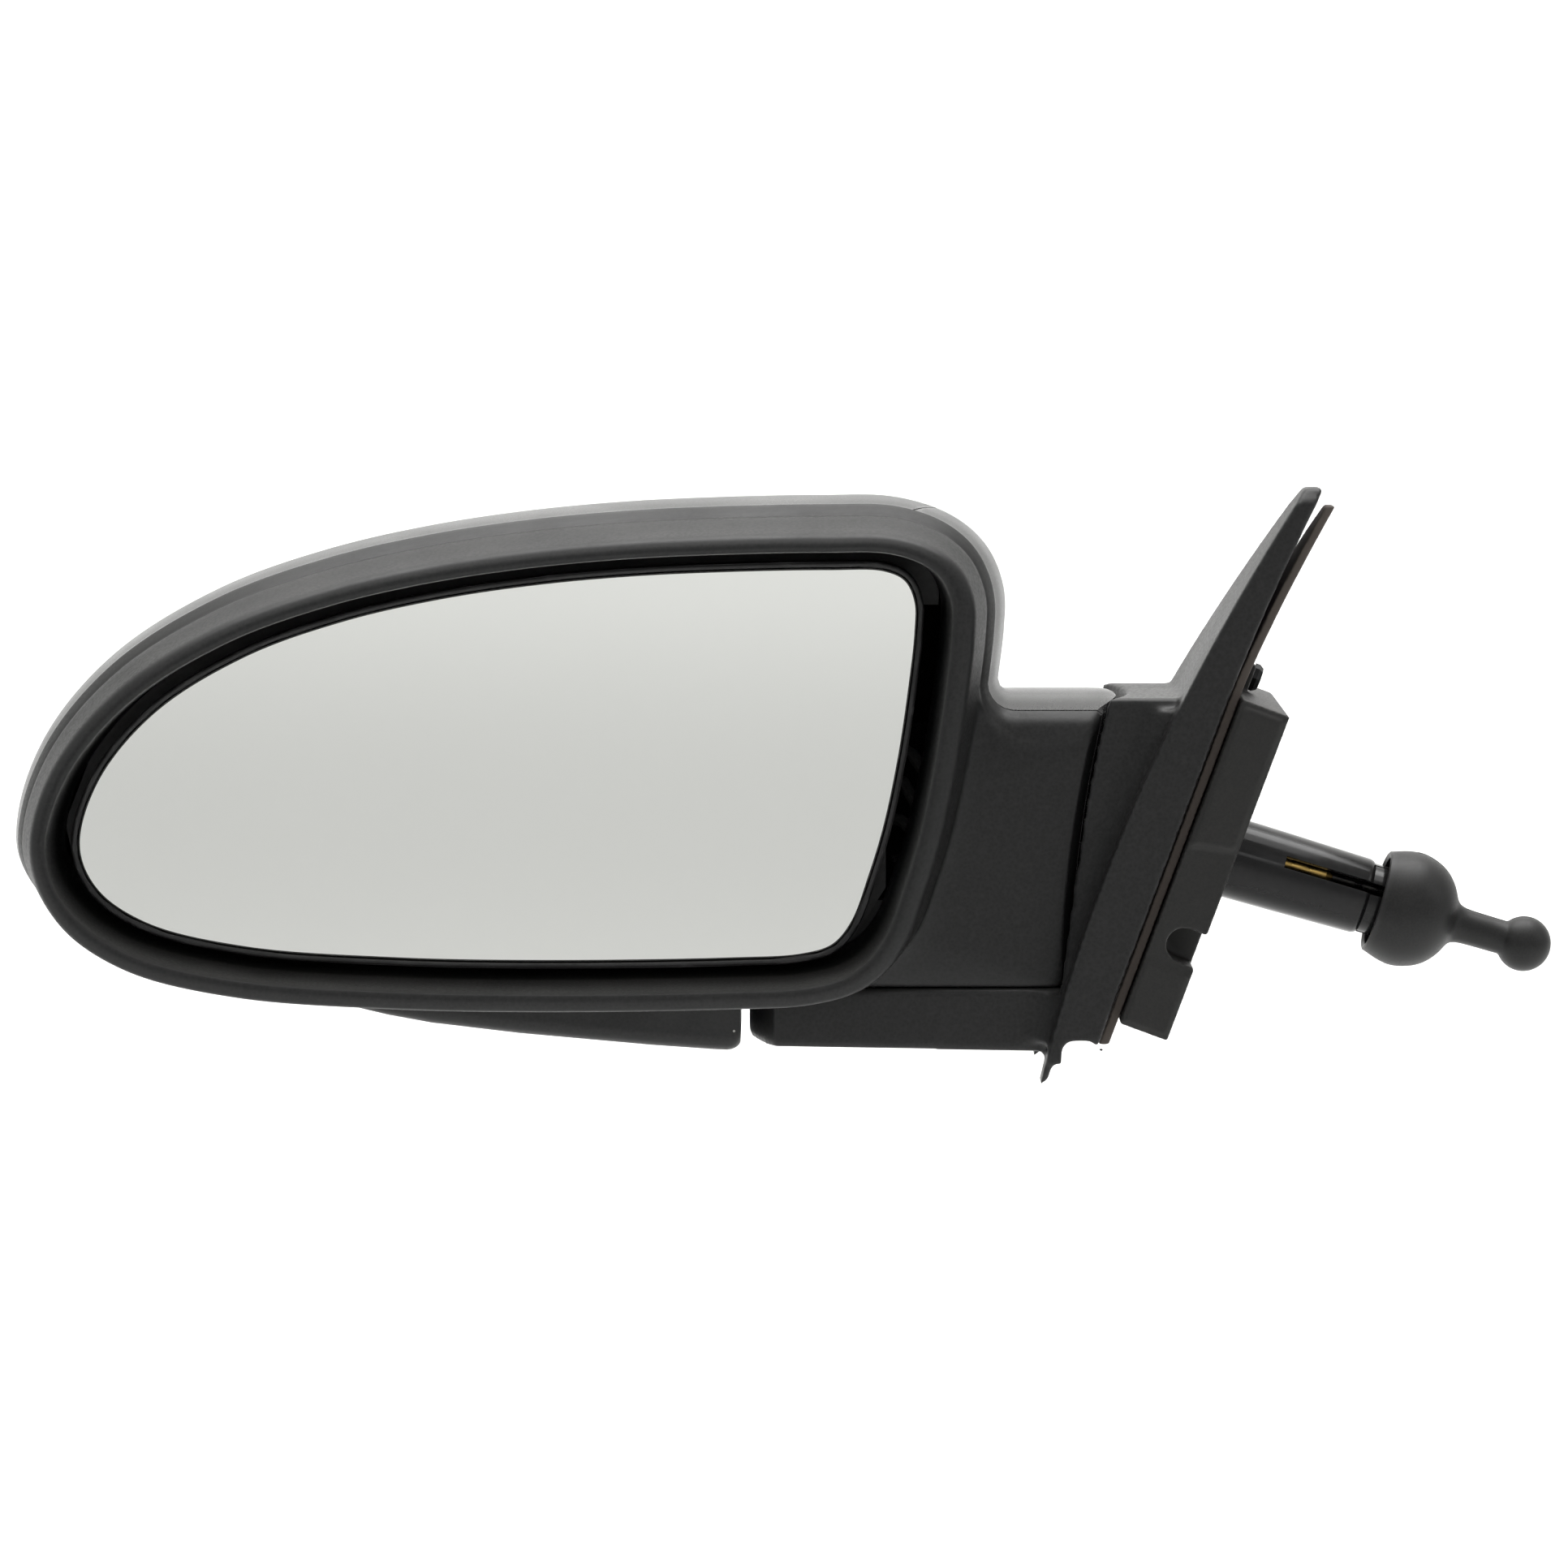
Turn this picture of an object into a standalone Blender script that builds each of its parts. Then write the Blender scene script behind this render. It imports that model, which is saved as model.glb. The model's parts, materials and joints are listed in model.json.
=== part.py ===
"""Door mirror of a small family car: driver's side, set by hand with a cable lever.

Axes: +X points into the car, +Y to the front of the car, +Z up. The origin is the middle
of the mounting block's face, which is bolted against the door frame. All sizes below are
in millimetres; objects are made in metres.
"""
import math

import bmesh
import bpy
from mathutils import Matrix, Vector

MM = 0.001
GAP = 0.3

# ---- door frame: the block leans with the door ----
DOOR_TILT = math.radians(20.3)
DOOR_NORMAL = Vector((math.cos(DOOR_TILT), 0.0, -math.sin(DOOR_TILT)))
DOOR_UP = Vector((math.sin(DOOR_TILT), 0.0, math.cos(DOOR_TILT)))
BLOCK_THICK = 11.5
BLOCK_HALF_HEIGHT = 39.2
BLOCK_REAR, BLOCK_FRONT = -30.0, 28.0
SKIN_INNER = -14.2
GASKET_THICK = 2.1

# ---- fold hinge ----
HINGE = Vector((-68.0, -2.0, 0.0))
SHELF_TOP = -25.8
SHELF_RADIUS = 40.0
SHELF_REAR, SHELF_FRONT = -23.0, 18.0
FOLD_GAP = 2.2
SKIN = 2.4

# ---- head ----
GLASS_Y = -24.0
ARM_BOTTOM = -25.5
ARM_ROOT_Z = 44.0
HEAD_CENTRE_X, HEAD_CENTRE_Z = -125.0, 24.0
NOSE_START, NOSE_DEPTH = -4.0, 50.0
DOME_POWER = 2.2
PARTING_Y = -18.0
WELL_BACK, WELL_BACK_RIGHT = -4.4, -8.6
FRAME_REAR, FRAME_FRONT = -4.0, -1.4

# ---- glass pivot ----
BALL = Vector((-155.0, -12.0, 22.0))
BALL_RADIUS = 4.5
WIRE_CIRCLE = 22.0

# ---- lever ----
LEVER_TILT = math.radians(16.5)
LEVER_AXIS = Vector((math.cos(LEVER_TILT), 0.0, -math.sin(LEVER_TILT)))
LEVER_UP = Vector((math.sin(LEVER_TILT), 0.0, math.cos(LEVER_TILT)))
SIDE = Vector((0.0, 1.0, 0.0))
LEVER = Vector((41.2, -14.0, -8.6))
TUBE_BORE = 7.4
STEM_LENGTH = 28.2

# Outline of the glass, seen from behind the car: (x, z), anticlockwise from the right side.
GLASS_OUTLINE = [
    (-71.5, 44.0), (-70.3, 55.0), (-70.3, 62.3), (-72.6, 67.2), (-77.5, 69.5), (-90.0, 69.8),
    (-112.0, 69.4), (-134.0, 68.4), (-156.0, 66.4), (-178.0, 63.1), (-200.0, 58.0),
    (-222.0, 50.0), (-242.5, 37.2), (-255.4, 21.5), (-259.6, 6.5), (-255.6, -3.2),
    (-244.5, -10.9), (-222.5, -16.3), (-189.4, -18.8), (-156.0, -19.5), (-112.0, -18.9),
    (-96.0, -18.0), (-89.0, -15.8), (-84.6, -10.6), (-80.5, 0.4), (-77.2, 11.5), (-73.9, 27.5),
]

# How far each ring of the head stands outside the glass outline: left, right, top, bottom.
RIM_INNER = (6.0, 7.4, 4.1, 5.4)
RIM_CREST = (7.3, 9.2, 5.7, 7.3)
RIM_OUTER = (9.7, 12.6, 8.2, 10.3)
SHOULDER_LOW = (11.0, 14.0, 9.6, 9.4)
VALLEY = (12.6, 15.6, 11.6, 6.1)
PARTING = (14.2, 17.7, 14.0, 6.1)
WIDEST = (16.0, 20.4, 15.2, 6.1)
WELL_END = (4.6, 5.6, 3.4, 2.0)
COVER_WALL = 2.2
INNER_WIDEST = (16.0, 20.4, 15.2, 7.0)
INNER_PARTING = (14.2, 17.7, 14.0, 7.0)

MAIN_STATIONS, ARM_LOW_STATIONS, ARM_END_STATIONS, ARM_TOP_STATIONS = 34, 4, 5, 5
CAST_ZINC = (0.42, 0.43, 0.44)
STEEL = (0.55, 0.56, 0.57)
BRASS = (0.60, 0.44, 0.17)
BLACK = (0.020, 0.020, 0.021)


# ---------------------------------------------------------------- general helpers

def clear_scene():
    """Remove what the scene starts with."""
    for obj in list(bpy.data.objects):
        bpy.data.objects.remove(obj, do_unlink=True)


def material(name, colour, roughness, metallic=0.0):
    """A plain material for one piece."""
    mat = bpy.data.materials.new(name)
    mat.use_nodes = True
    shader = mat.node_tree.nodes["Principled BSDF"]
    shader.inputs["Base Color"].default_value = (*colour, 1.0)
    shader.inputs["Roughness"].default_value = roughness
    shader.inputs["Metallic"].default_value = metallic
    return mat


def body(name, centre):
    """An empty on a joint's axis, which carries the pieces that move about it."""
    empty = bpy.data.objects.new(name, None)
    empty.location = centre * MM
    bpy.context.collection.objects.link(empty)
    return empty


def attach(obj, parent):
    """Parent a piece to a body without moving it."""
    if parent is not None:
        obj.parent = parent
        obj.matrix_parent_inverse = Matrix.Translation(-parent.location)


def piece(name, shape, colour, roughness, metallic=0.0, parent=None):
    """Turn a closed bmesh in millimetres into a named object in metres."""
    bmesh.ops.remove_doubles(shape, verts=shape.verts, dist=0.0001)
    bmesh.ops.recalc_face_normals(shape, faces=shape.faces)
    bmesh.ops.scale(shape, vec=(MM, MM, MM), verts=shape.verts)
    mesh = bpy.data.meshes.new(name)
    shape.to_mesh(mesh)
    shape.free()
    mesh.materials.append(material(name + "_finish", colour, roughness, metallic))
    mesh.shade_smooth()
    mesh.set_sharp_from_angle(angle=math.radians(35.0))
    obj = bpy.data.objects.new(name, mesh)
    bpy.context.collection.objects.link(obj)
    attach(obj, parent)
    return obj


def combine(first, second, operation):
    """Boolean of two closed bmeshes; returns a new one and frees both."""
    holders = []
    for shape in (first, second):
        bmesh.ops.recalc_face_normals(shape, faces=shape.faces)
        mesh = bpy.data.meshes.new("work")
        shape.to_mesh(mesh)
        shape.free()
        holder = bpy.data.objects.new("work", mesh)
        bpy.context.collection.objects.link(holder)
        holders.append(holder)
    modifier = holders[0].modifiers.new("boolean", "BOOLEAN")
    modifier.object = holders[1]
    modifier.operation = operation
    modifier.solver = "EXACT"
    graph = bpy.context.evaluated_depsgraph_get()
    result = bpy.data.meshes.new_from_object(holders[0].evaluated_get(graph))
    shape = bmesh.new()
    shape.from_mesh(result)
    bpy.data.meshes.remove(result)
    for holder in holders:
        mesh = holder.data
        bpy.data.objects.remove(holder, do_unlink=True)
        bpy.data.meshes.remove(mesh)
    return shape


def join(first, *others):
    """Union of closed bmeshes."""
    for other in others:
        first = combine(first, other, "UNION")
    return first


def cut(first, *tools):
    """First bmesh less each of the others."""
    for tool in tools:
        first = combine(first, tool, "DIFFERENCE")
    return first


def lofted(rings, closed=False):
    """Skin rings of equal length; a closed loft joins the last ring to the first."""
    shape = bmesh.new()
    rows = [[shape.verts.new(point) for point in ring] for ring in rings]
    count = len(rows[0])
    pairs = list(zip(rows, rows[1:]))
    if closed:
        pairs.append((rows[-1], rows[0]))
    for low, high in pairs:
        for i in range(count):
            j = (i + 1) % count
            shape.faces.new((low[i], low[j], high[j], high[i]))
    if not closed:
        shape.faces.new(rows[0])
        shape.faces.new(list(reversed(rows[-1])))
    return shape


def prism(outline, place, low, high):
    """Extrude a flat outline; place(a, b, c) turns outline and height into a point."""
    rings = [[place(a, b, c) for a, b in outline] for c in (low, high)]
    return lofted(rings)


def along_y(outline, low, high):
    """Extrude an (x, z) outline along Y."""
    return prism(outline, lambda a, b, c: Vector((a, c, b)), low, high)


def along_z(outline, low, high):
    """Extrude an (x, y) outline along Z."""
    return prism(outline, lambda a, b, c: Vector((a, b, c)), low, high)


def along_door(outline, low, high):
    """Extrude a (y, up the door) outline along the door's normal."""
    return prism(outline, door_point_from_outline, low, high)


def door_point_from_outline(y, up, depth):
    """Point from its place on the door plane and its depth along the door's normal."""
    return DOOR_NORMAL * depth + DOOR_UP * up + SIDE * y


def rectangle(a_low, a_high, b_low, b_high):
    """Four corners of a rectangle."""
    return [(a_low, b_low), (a_high, b_low), (a_high, b_high), (a_low, b_high)]


def circle(a, b, radius, sides=20, start=0.0, sweep=math.tau):
    """Points of a circle, or of an arc with both of its ends."""
    steps = sides if sweep == math.tau else sides - 1
    angles = [start + sweep * i / steps for i in range(sides)]
    return [(a + radius * math.cos(t), b + radius * math.sin(t)) for t in angles]


def turned(profile, centre, axis, sides=16):
    """Solid of revolution from a closed profile of (radius, height) points."""
    axis = axis.normalized()
    helper = Vector((0.0, 1.0, 0.0)) if abs(axis.y) < 0.9 else Vector((1.0, 0.0, 0.0))
    across = axis.cross(helper).normalized()
    other = axis.cross(across)
    shape = bmesh.new()
    rows = []
    for radius, height in profile:
        base = centre + axis * height
        if radius < 1e-6:
            rows.append([shape.verts.new(base)])
            continue
        turns = [math.tau * i / sides for i in range(sides)]
        spokes = [across * math.cos(t) + other * math.sin(t) for t in turns]
        rows.append([shape.verts.new(base + spoke * radius) for spoke in spokes])
    for low, high in zip(rows, rows[1:] + rows[:1]):
        for i in range(sides):
            j = (i + 1) % sides
            corners = [low[i % len(low)], low[j % len(low)], high[j % len(high)], high[i % len(high)]]
            unique = list(dict.fromkeys(corners))
            if len(unique) > 2:
                shape.faces.new(unique)
    bmesh.ops.recalc_face_normals(shape, faces=shape.faces)
    return shape


def rod(centre, axis, radius, low, high, sides=12):
    """A plain round bar between two heights on an axis."""
    return turned([(0.0, low), (radius, low), (radius, high), (0.0, high)], centre, axis, sides)


def washer(centre, axis, inner, outer, low, high, sides=16):
    """A flat ring."""
    profile = [(inner, low), (outer, low), (outer, high), (inner, high)]
    return turned(profile, centre, axis, sides)


def box(x_low, x_high, y_low, y_high, z_low, z_high):
    """A plain block used to build or to cut."""
    return along_y(rectangle(x_low, x_high, z_low, z_high), y_low, y_high)


def screw_shape(head, axis, head_radius, head_height, shank_radius, length):
    """Pan-head screw: the head stands on the -axis side of its seat, with a drive recess."""
    profile = [
        (0.0, -head_height * 0.45), (head_radius * 0.35, -head_height * 0.5),
        (head_radius * 0.45, -head_height), (head_radius * 0.8, -head_height),
        (head_radius, -head_height * 0.5), (head_radius, 0.0), (shank_radius, 0.0),
        (shank_radius, length - shank_radius), (0.0, length),
    ]
    return turned(profile, head, axis, 8)


def smooth_route(points, spacing):
    """Evenly spaced points on a smooth curve through a route's own points."""
    track = [Vector(p) for p in points]
    track = [track[0] * 2 - track[1]] + track + [track[-1] * 2 - track[-2]]
    dense = []
    for a, b, c, d in zip(track, track[1:], track[2:], track[3:]):
        for i in range(24):
            dense.append(curve_point(a, b, c, d, i / 24))
    dense.append(track[-2])
    lengths = [0.0]
    for a, b in zip(dense, dense[1:]):
        lengths.append(lengths[-1] + (b - a).length)
    steps = max(3, round(lengths[-1] / spacing))
    result = []
    for i in range(steps + 1):
        target = lengths[-1] * i / steps
        k = next((n for n, value in enumerate(lengths) if value >= target - 1e-9), len(dense) - 1)
        result.append(dense[k])
    return result


def curve_point(a, b, c, d, t):
    """Point at t between b and c on a Catmull-Rom curve."""
    return 0.5 * (2 * b + (c - a) * t + (2 * a - 5 * b + 4 * c - d) * t * t
                  + (3 * b - 3 * c + d - a) * t ** 3)


def cable(name, points, radius, colour, roughness, metallic=0.0, parent=None, resolution=2):
    """A round tube along points, in millimetres."""
    data = bpy.data.curves.new(name, "CURVE")
    data.dimensions = "3D"
    data.bevel_depth = radius * MM
    data.bevel_resolution = resolution
    data.use_fill_caps = True
    spline = data.splines.new("POLY")
    spline.points.add(len(points) - 1)
    for slot, point in zip(spline.points, points):
        slot.co = (*(point * MM), 1.0)
    data.materials.append(material(name + "_finish", colour, roughness, metallic))
    obj = bpy.data.objects.new(name, data)
    bpy.context.collection.objects.link(obj)
    attach(obj, parent)
    return obj


def coil(centre, axis, radius, pitch, turns, steps=10):
    """Points of a spring's wire."""
    helper = Vector((1.0, 0.0, 0.0))
    across = axis.cross(helper).normalized()
    other = axis.cross(across)
    points = []
    for i in range(round(turns * steps) + 1):
        angle = math.tau * i / steps
        rise = pitch * i / steps
        points.append(centre + across * radius * math.cos(angle)
                      + other * radius * math.sin(angle) + axis * rise)
    return points


# ---------------------------------------------------------------- outline of the head

def closed_outline(points, per_span=24):
    """Dense points of a smooth closed curve through the given ones (centripetal spline)."""
    track = [Vector((x, z)) for x, z in points]
    dense = []
    count = len(track)
    for i in range(count):
        a, b, c, d = (track[(i + k - 1) % count] for k in range(4))
        knots = [0.0]
        for p, q in ((a, b), (b, c), (c, d)):
            knots.append(knots[-1] + math.sqrt((q - p).length))
        for k in range(per_span):
            t = knots[1] + (knots[2] - knots[1]) * k / per_span
            dense.append(barry_goldman((a, b, c, d), knots, t))
    return dense


def barry_goldman(points, knots, t):
    """Point of a non-uniform Catmull-Rom curve at knot value t."""
    level = list(points)
    for width in (1, 2, 2):
        level = blend_level(level, knots, t, len(points) - len(level) + 1, width)
    return level[0]


def blend_level(level, knots, t, depth, width):
    """One step of the Barry-Goldman pyramid."""
    result = []
    for i in range(len(level) - 1):
        if depth == 1:
            low, high = knots[i], knots[i + 1]
        elif depth == 2:
            low, high = knots[i], knots[i + 2]
        else:
            low, high = knots[1], knots[2]
        share = (t - low) / (high - low)
        result.append(level[i] * (1 - share) + level[i + 1] * share)
    return result


class HeadOutline:
    """The glass outline, read at stations that every ring of the head shares."""

    def __init__(self):
        self.points = closed_outline(GLASS_OUTLINE)
        count = len(self.points)
        self.normals = []
        for i in range(count):
            ahead = self.points[(i + 3) % count] - self.points[i - 3]
            self.normals.append(Vector((ahead.y, -ahead.x)).normalized())
        weights = [0.0]
        for i in range(count):
            j = (i + 1) % count
            turn = self.normals[i].angle(self.normals[j])
            weights.append(weights[-1] + (self.points[j] - self.points[i]).length + turn * 45.0)
        self.weights = weights
        self.low_start = self.find(lambda p: p.y < 0 and p.x > -104.0, 0)
        self.end_start = self.find(lambda p: p.y > -2.0, self.low_start)
        self.top_start = self.find(lambda p: p.y > 36.0, self.end_start)
        root = self.find(lambda p: p.y > ARM_ROOT_Z - 0.01, 0)
        self.main = self.spread(root, self.low_start, MAIN_STATIONS, first=True)
        self.low = self.spread(self.low_start, self.end_start, ARM_LOW_STATIONS)
        self.end = self.spread(self.end_start, self.top_start, ARM_END_STATIONS)
        self.top = self.spread(self.top_start, count + root, ARM_TOP_STATIONS, last=False)

    def find(self, test, start):
        """First dense point from start on that passes a test."""
        return next(i for i in range(start, len(self.points)) if test(self.points[i]))

    def weight(self, index):
        """Weight along the outline, which may run past its start."""
        laps, rest = divmod(index, len(self.points))
        return laps * self.weights[-1] + self.weights[rest]

    def spread(self, start, stop, count, first=False, last=True):
        """Dense indices spread evenly by weight between two of them."""
        low, high = self.weight(start), self.weight(stop)
        pieces = count - 1 if first and last else count + 1 if not first and not last else count
        offset = 0 if first else 1
        result = []
        for k in range(count):
            target = low + (high - low) * (k + offset) / pieces
            result.append(min(range(start, stop + 1), key=lambda i: abs(self.weight(i) - target)))
        return result

    def offset(self, index, margins):
        """Outline point moved out by directional margins."""
        left, right, top, bottom = margins
        point = self.points[index % len(self.points)]
        normal = self.normals[index % len(self.points)]
        across = right if normal.x > 0 else left
        upright = top if normal.y > 0 else bottom
        return Vector((point.x + normal.x * across, point.y + normal.y * upright))


OUTLINE = HeadOutline()


def arm_radius(z):
    """Radius of the arm's end about the hinge, which grows upwards."""
    return 37.6 + 0.085 * z + 0.0018 * z * z


def arm_reach(y, z, side, inset):
    """How far the arm's rounded end reaches in x, at least to the head's own side."""
    radius = arm_radius(z) - inset
    depth = y - HINGE.y
    if abs(depth) < radius:
        reach = HINGE.x + math.sqrt(radius * radius - depth * depth)
    else:
        reach = HINGE.x - 2.0 * (abs(depth) - radius)
    beyond = reach - side
    return side + 0.5 * (beyond + math.sqrt(beyond * beyond + 9.0))


def mix(a, b, share):
    """Linear blend."""
    return a + (b - a) * share


def head_ring(y, margins, arm=0.0, inset=0.0, scale=1.0, arm_top=37.0, y_right=None):
    """One ring of the head at depth y; arm=1 brings in the arm at the inboard side."""
    slim = tuple(value - inset for value in margins)
    centre = Vector((HEAD_CENTRE_X, HEAD_CENTRE_Z))
    top_z = mix(centre.y, arm_top, scale) - inset
    low_z = mix(centre.y, ARM_BOTTOM, scale) + min(inset, 1.6)
    main = [centre + (OUTLINE.offset(i, slim) - centre) * scale for i in OUTLINE.main]
    side = main[0].x
    targets = []
    start = main[-1]
    reach = arm_reach(y, low_z, side, inset)
    for k in range(ARM_LOW_STATIONS):
        share = (k + 1) / ARM_LOW_STATIONS
        targets.append(Vector((mix(start.x, reach - 0.8, share), low_z)))
    for k in range(ARM_END_STATIONS):
        z = mix(low_z + 0.8, top_z - 1.6, k / (ARM_END_STATIONS - 1))
        targets.append(Vector((arm_reach(y, z, side, inset), z)))
    reach = arm_reach(y, top_z, side, inset)
    radius = max(main[0].y - top_z, 0.8)
    fillet = min(radius, 0.6 * (reach - side))
    targets.append(Vector((reach - 0.05 * (reach - side) - 0.2, top_z)))
    targets.append(Vector((mix(side + fillet, reach, 0.45), top_z)))
    for angle in (90.0, 60.0, 30.0):
        turn = math.radians(angle)
        targets.append(Vector((side + fillet * (1 - math.cos(turn)),
                               main[0].y - radius * math.sin(turn))))
    stations = OUTLINE.low + OUTLINE.end + OUTLINE.top
    plain = [centre + (OUTLINE.offset(i, slim) - centre) * scale for i in stations]
    flat = main + [a.lerp(b, arm) for a, b in zip(plain, targets)]
    ring = []
    for index, point in zip(OUTLINE.main + stations, flat):
        depth = y
        if y_right is not None:
            depth = mix(y, y_right, max(OUTLINE.normals[index % len(OUTLINE.points)].x, 0.0) ** 0.5)
        ring.append(Vector((point.x, depth, point.y)))
    return ring


def blend_margins(first, second, share):
    """Margins part way between two sets."""
    return tuple(mix(a, b, share) for a, b in zip(first, second))


# ---------------------------------------------------------------- head pieces

def rear_housing(head):
    """Textured shell with the rim, the well round the glass and the arm's rear face."""
    well_mid = blend_margins(WELL_END, RIM_INNER, 0.78)
    well_wall = (1.8, 1.8, 1.5, 0.9)
    well_bend = tuple(a + b for a, b in zip(well_mid, (2.3, 2.3, 2.0, 0.9)))
    outer_wall = (2.2, 2.2, 2.0, 1.2)
    rings = [
        head_ring(WELL_BACK, WELL_END, y_right=WELL_BACK_RIGHT),
        head_ring(-35.6, RIM_INNER),
        head_ring(-36.8, RIM_CREST),
        head_ring(-35.0, RIM_OUTER),
        head_ring(-30.0, SHOULDER_LOW),
        head_ring(-24.2, VALLEY),
        head_ring(-22.2, VALLEY, arm=1.0, arm_top=30.0),
        head_ring(-20.8, blend_margins(VALLEY, PARTING, 0.4), arm=1.0, arm_top=34.6),
        head_ring(PARTING_Y, PARTING, arm=1.0, arm_top=37.0),
        inner_ring(PARTING_Y, PARTING, outer_wall, 1.0, 37.0),
        inner_ring(-19.6, blend_margins(VALLEY, PARTING, 0.6), outer_wall, 1.0, 32.0),
        inner_ring(-21.8, VALLEY, outer_wall, 0.0, 30.0),
        head_ring(-28.6, well_bend),
        head_ring(WELL_BACK, tuple(a + b for a, b in zip(WELL_END, well_wall)),
                  y_right=WELL_BACK_RIGHT),
    ]
    shape = lofted(rings, closed=True)
    foot_hole = rod(HINGE, Vector((0.0, 0.0, 1.0)), 10.2, ARM_BOTTOM - 4.0, ARM_BOTTOM + 4.0)
    shape = cut(shape, foot_hole)
    piece("rear_housing", shape, BLACK, 0.55, parent=head)


def inner_ring(y, margins, wall, arm, arm_top):
    """Ring inside the outer wall."""
    slim = tuple(a - b for a, b in zip(margins, wall))
    return head_ring(y, slim, arm=arm, arm_top=arm_top - 2.0, inset=0.0) if arm == 0.0 else \
        head_ring(y, tuple(a + 2.0 for a in slim), arm=arm, arm_top=arm_top, inset=2.0)


def nose_ring(share, wall):
    """Ring of the front shell, from its widest (share 0) towards the nose (share 1)."""
    turn = share * math.pi / 2
    depth = NOSE_START + (NOSE_DEPTH - wall) * math.sin(turn) ** (2 / DOME_POWER)
    scale = math.cos(turn) ** (2 / DOME_POWER)
    margins = INNER_WIDEST if wall else WIDEST
    return head_ring(depth, margins, arm=1.0, inset=wall, scale=scale, arm_top=40.2)


def front_shell():
    """The closed front of the head as one shell, before it is split at its seam."""
    wall = COVER_WALL
    lead = PARTING_Y + GAP
    outer = [
        head_ring(lead, PARTING, arm=1.0, arm_top=37.2),
        head_ring(-12.0, blend_margins(PARTING, WIDEST, 0.62), arm=1.0, arm_top=39.2),
    ]
    outer += [nose_ring(share, 0.0) for share in (0.0, 0.2, 0.4, 0.6, 0.78, 0.93)]
    inner = [nose_ring(share, wall) for share in (0.9, 0.65, 0.35, 0.0)]
    inner.append(head_ring(lead, INNER_PARTING, arm=1.0, inset=wall, arm_top=37.2))
    shape = bmesh.new()
    rows = [[shape.verts.new(point) for point in ring] for ring in outer + inner]
    count = len(rows[0])
    for number, (low, high) in enumerate(zip(rows, rows[1:] + rows[:1])):
        if number == len(outer) - 1:
            shape.faces.new(low)
            shape.faces.new(list(reversed(high)))
            continue
        for i in range(count):
            j = (i + 1) % count
            shape.faces.new((low[i], low[j], high[j], high[i]))
    return shape


def seam_side(outboard):
    """Big block on one side of the seam between the cap and the inboard shell."""
    seam_x, slope, half_gap = -70.9, 0.4, 0.2
    near, far = -60.0, 80.0
    shift = -half_gap if outboard else half_gap
    edge = -400.0 if outboard else 200.0
    at_near = seam_x + slope * (near - PARTING_Y) + shift
    at_far = seam_x + slope * (far - PARTING_Y) + shift
    return along_z([(edge, near), (at_near, near), (at_far, far), (edge, far)], -200.0, 200.0)


def front_covers(head):
    """Smooth cap outboard and smooth shell inboard, parted at a seam."""
    foot_hole = rod(HINGE, Vector((0.0, 0.0, 1.0)), 10.2, ARM_BOTTOM - 4.0, ARM_BOTTOM + 6.0)
    shell = cut(front_shell(), foot_hole)
    cap = combine(shell.copy(), seam_side(True), "INTERSECT")
    piece("cap_cover", cap, (0.05, 0.05, 0.052), 0.28, parent=head)
    inboard = combine(shell, seam_side(False), "INTERSECT")
    piece("inboard_shell", inboard, (0.05, 0.05, 0.052), 0.28, parent=head)


def lower_shell(head):
    """Textured bulge under the rim, outboard of the shelf."""
    rings = []
    for x, depth in ((-212.0, 2.6), (-190.0, 6.6), (-160.0, 10.2), (-130.0, 12.9), (-111.4, 14.3),
                     (-109.9, 12.9)):
        top = -26.3 if x > -180.0 else mix(-26.3, -24.0, (-180.0 - x) / 32.0)
        rear, front = -22.6, mix(8.0, 20.0, (x + 212.0) / 102.0)
        lip = min(4.0, depth * 0.5)
        outline = [(rear, top), (front, top), (front - lip * 0.4, top - depth + lip),
                   (front - lip * 2.0, top - depth), (rear + lip, top - depth),
                   (rear + lip * 0.2, top - depth + lip)]
        rings.append([Vector((x, a, b)) for a, b in outline])
    piece("lower_shell", lofted(rings), BLACK, 0.55, parent=head)


def head_frame(head):
    """Inner bracket: hinge sleeve, plate behind the well, bosses and cable guides."""
    up = Vector((0.0, 0.0, 1.0))
    plate = lofted([frame_ring(FRAME_REAR), frame_ring(FRAME_FRONT)])
    sleeve = rod(HINGE, up, 8.0, -24.0, -6.0)
    web = box(-90.0, -70.0, -3.0, 0.0, -22.2, -8.0)
    shape = join(plate, web, sleeve)
    back = Vector((0.0, -1.0, 0.0))
    for centre in guide_centres():
        shape = join(shape, rod(centre, back, 3.6, -4.4, 2.0))
    sleeve_bore = rod(HINGE, up, 6.9, -30.0, 10.0)
    shape = cut(shape, sleeve_bore)
    hinge_room = rod(HINGE, up, 9.2, -5.7, 60.0, 16)
    shape = cut(shape, hinge_room)
    for centre in guide_centres():
        shape = cut(shape, rod(Vector((centre.x, 0.0, centre.z)), back, 1.8, -20.0, 20.0, 10))
    for x, z in FRAME_SCREWS:
        shape = cut(shape, rod(Vector((x, 0.0, z)), back, 1.7, -20.0, 20.0, 12))
    lightening = along_y(circle(-205.0, 22.0, 13.0, 12), -20.0, 20.0)
    shape = cut(shape, lightening)
    piece("head_frame", shape, (0.09, 0.09, 0.092), 0.5, parent=head)


FRAME_SCREWS = [(-236.0, 14.0), (-176.0, 58.0), (-98.0, 58.0), (-120.0, -14.0)]


def frame_ring(y):
    """Outline of the frame's plate, between the well and the front shell."""
    indices = OUTLINE.main[::2] + OUTLINE.low[1::2] + OUTLINE.end[1::2] + OUTLINE.top[1::2]
    flat = [OUTLINE.offset(i, (5.0, 6.0, 5.0, 3.0)) for i in indices]
    return [Vector((p.x, y, p.y)) for p in flat]


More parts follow.
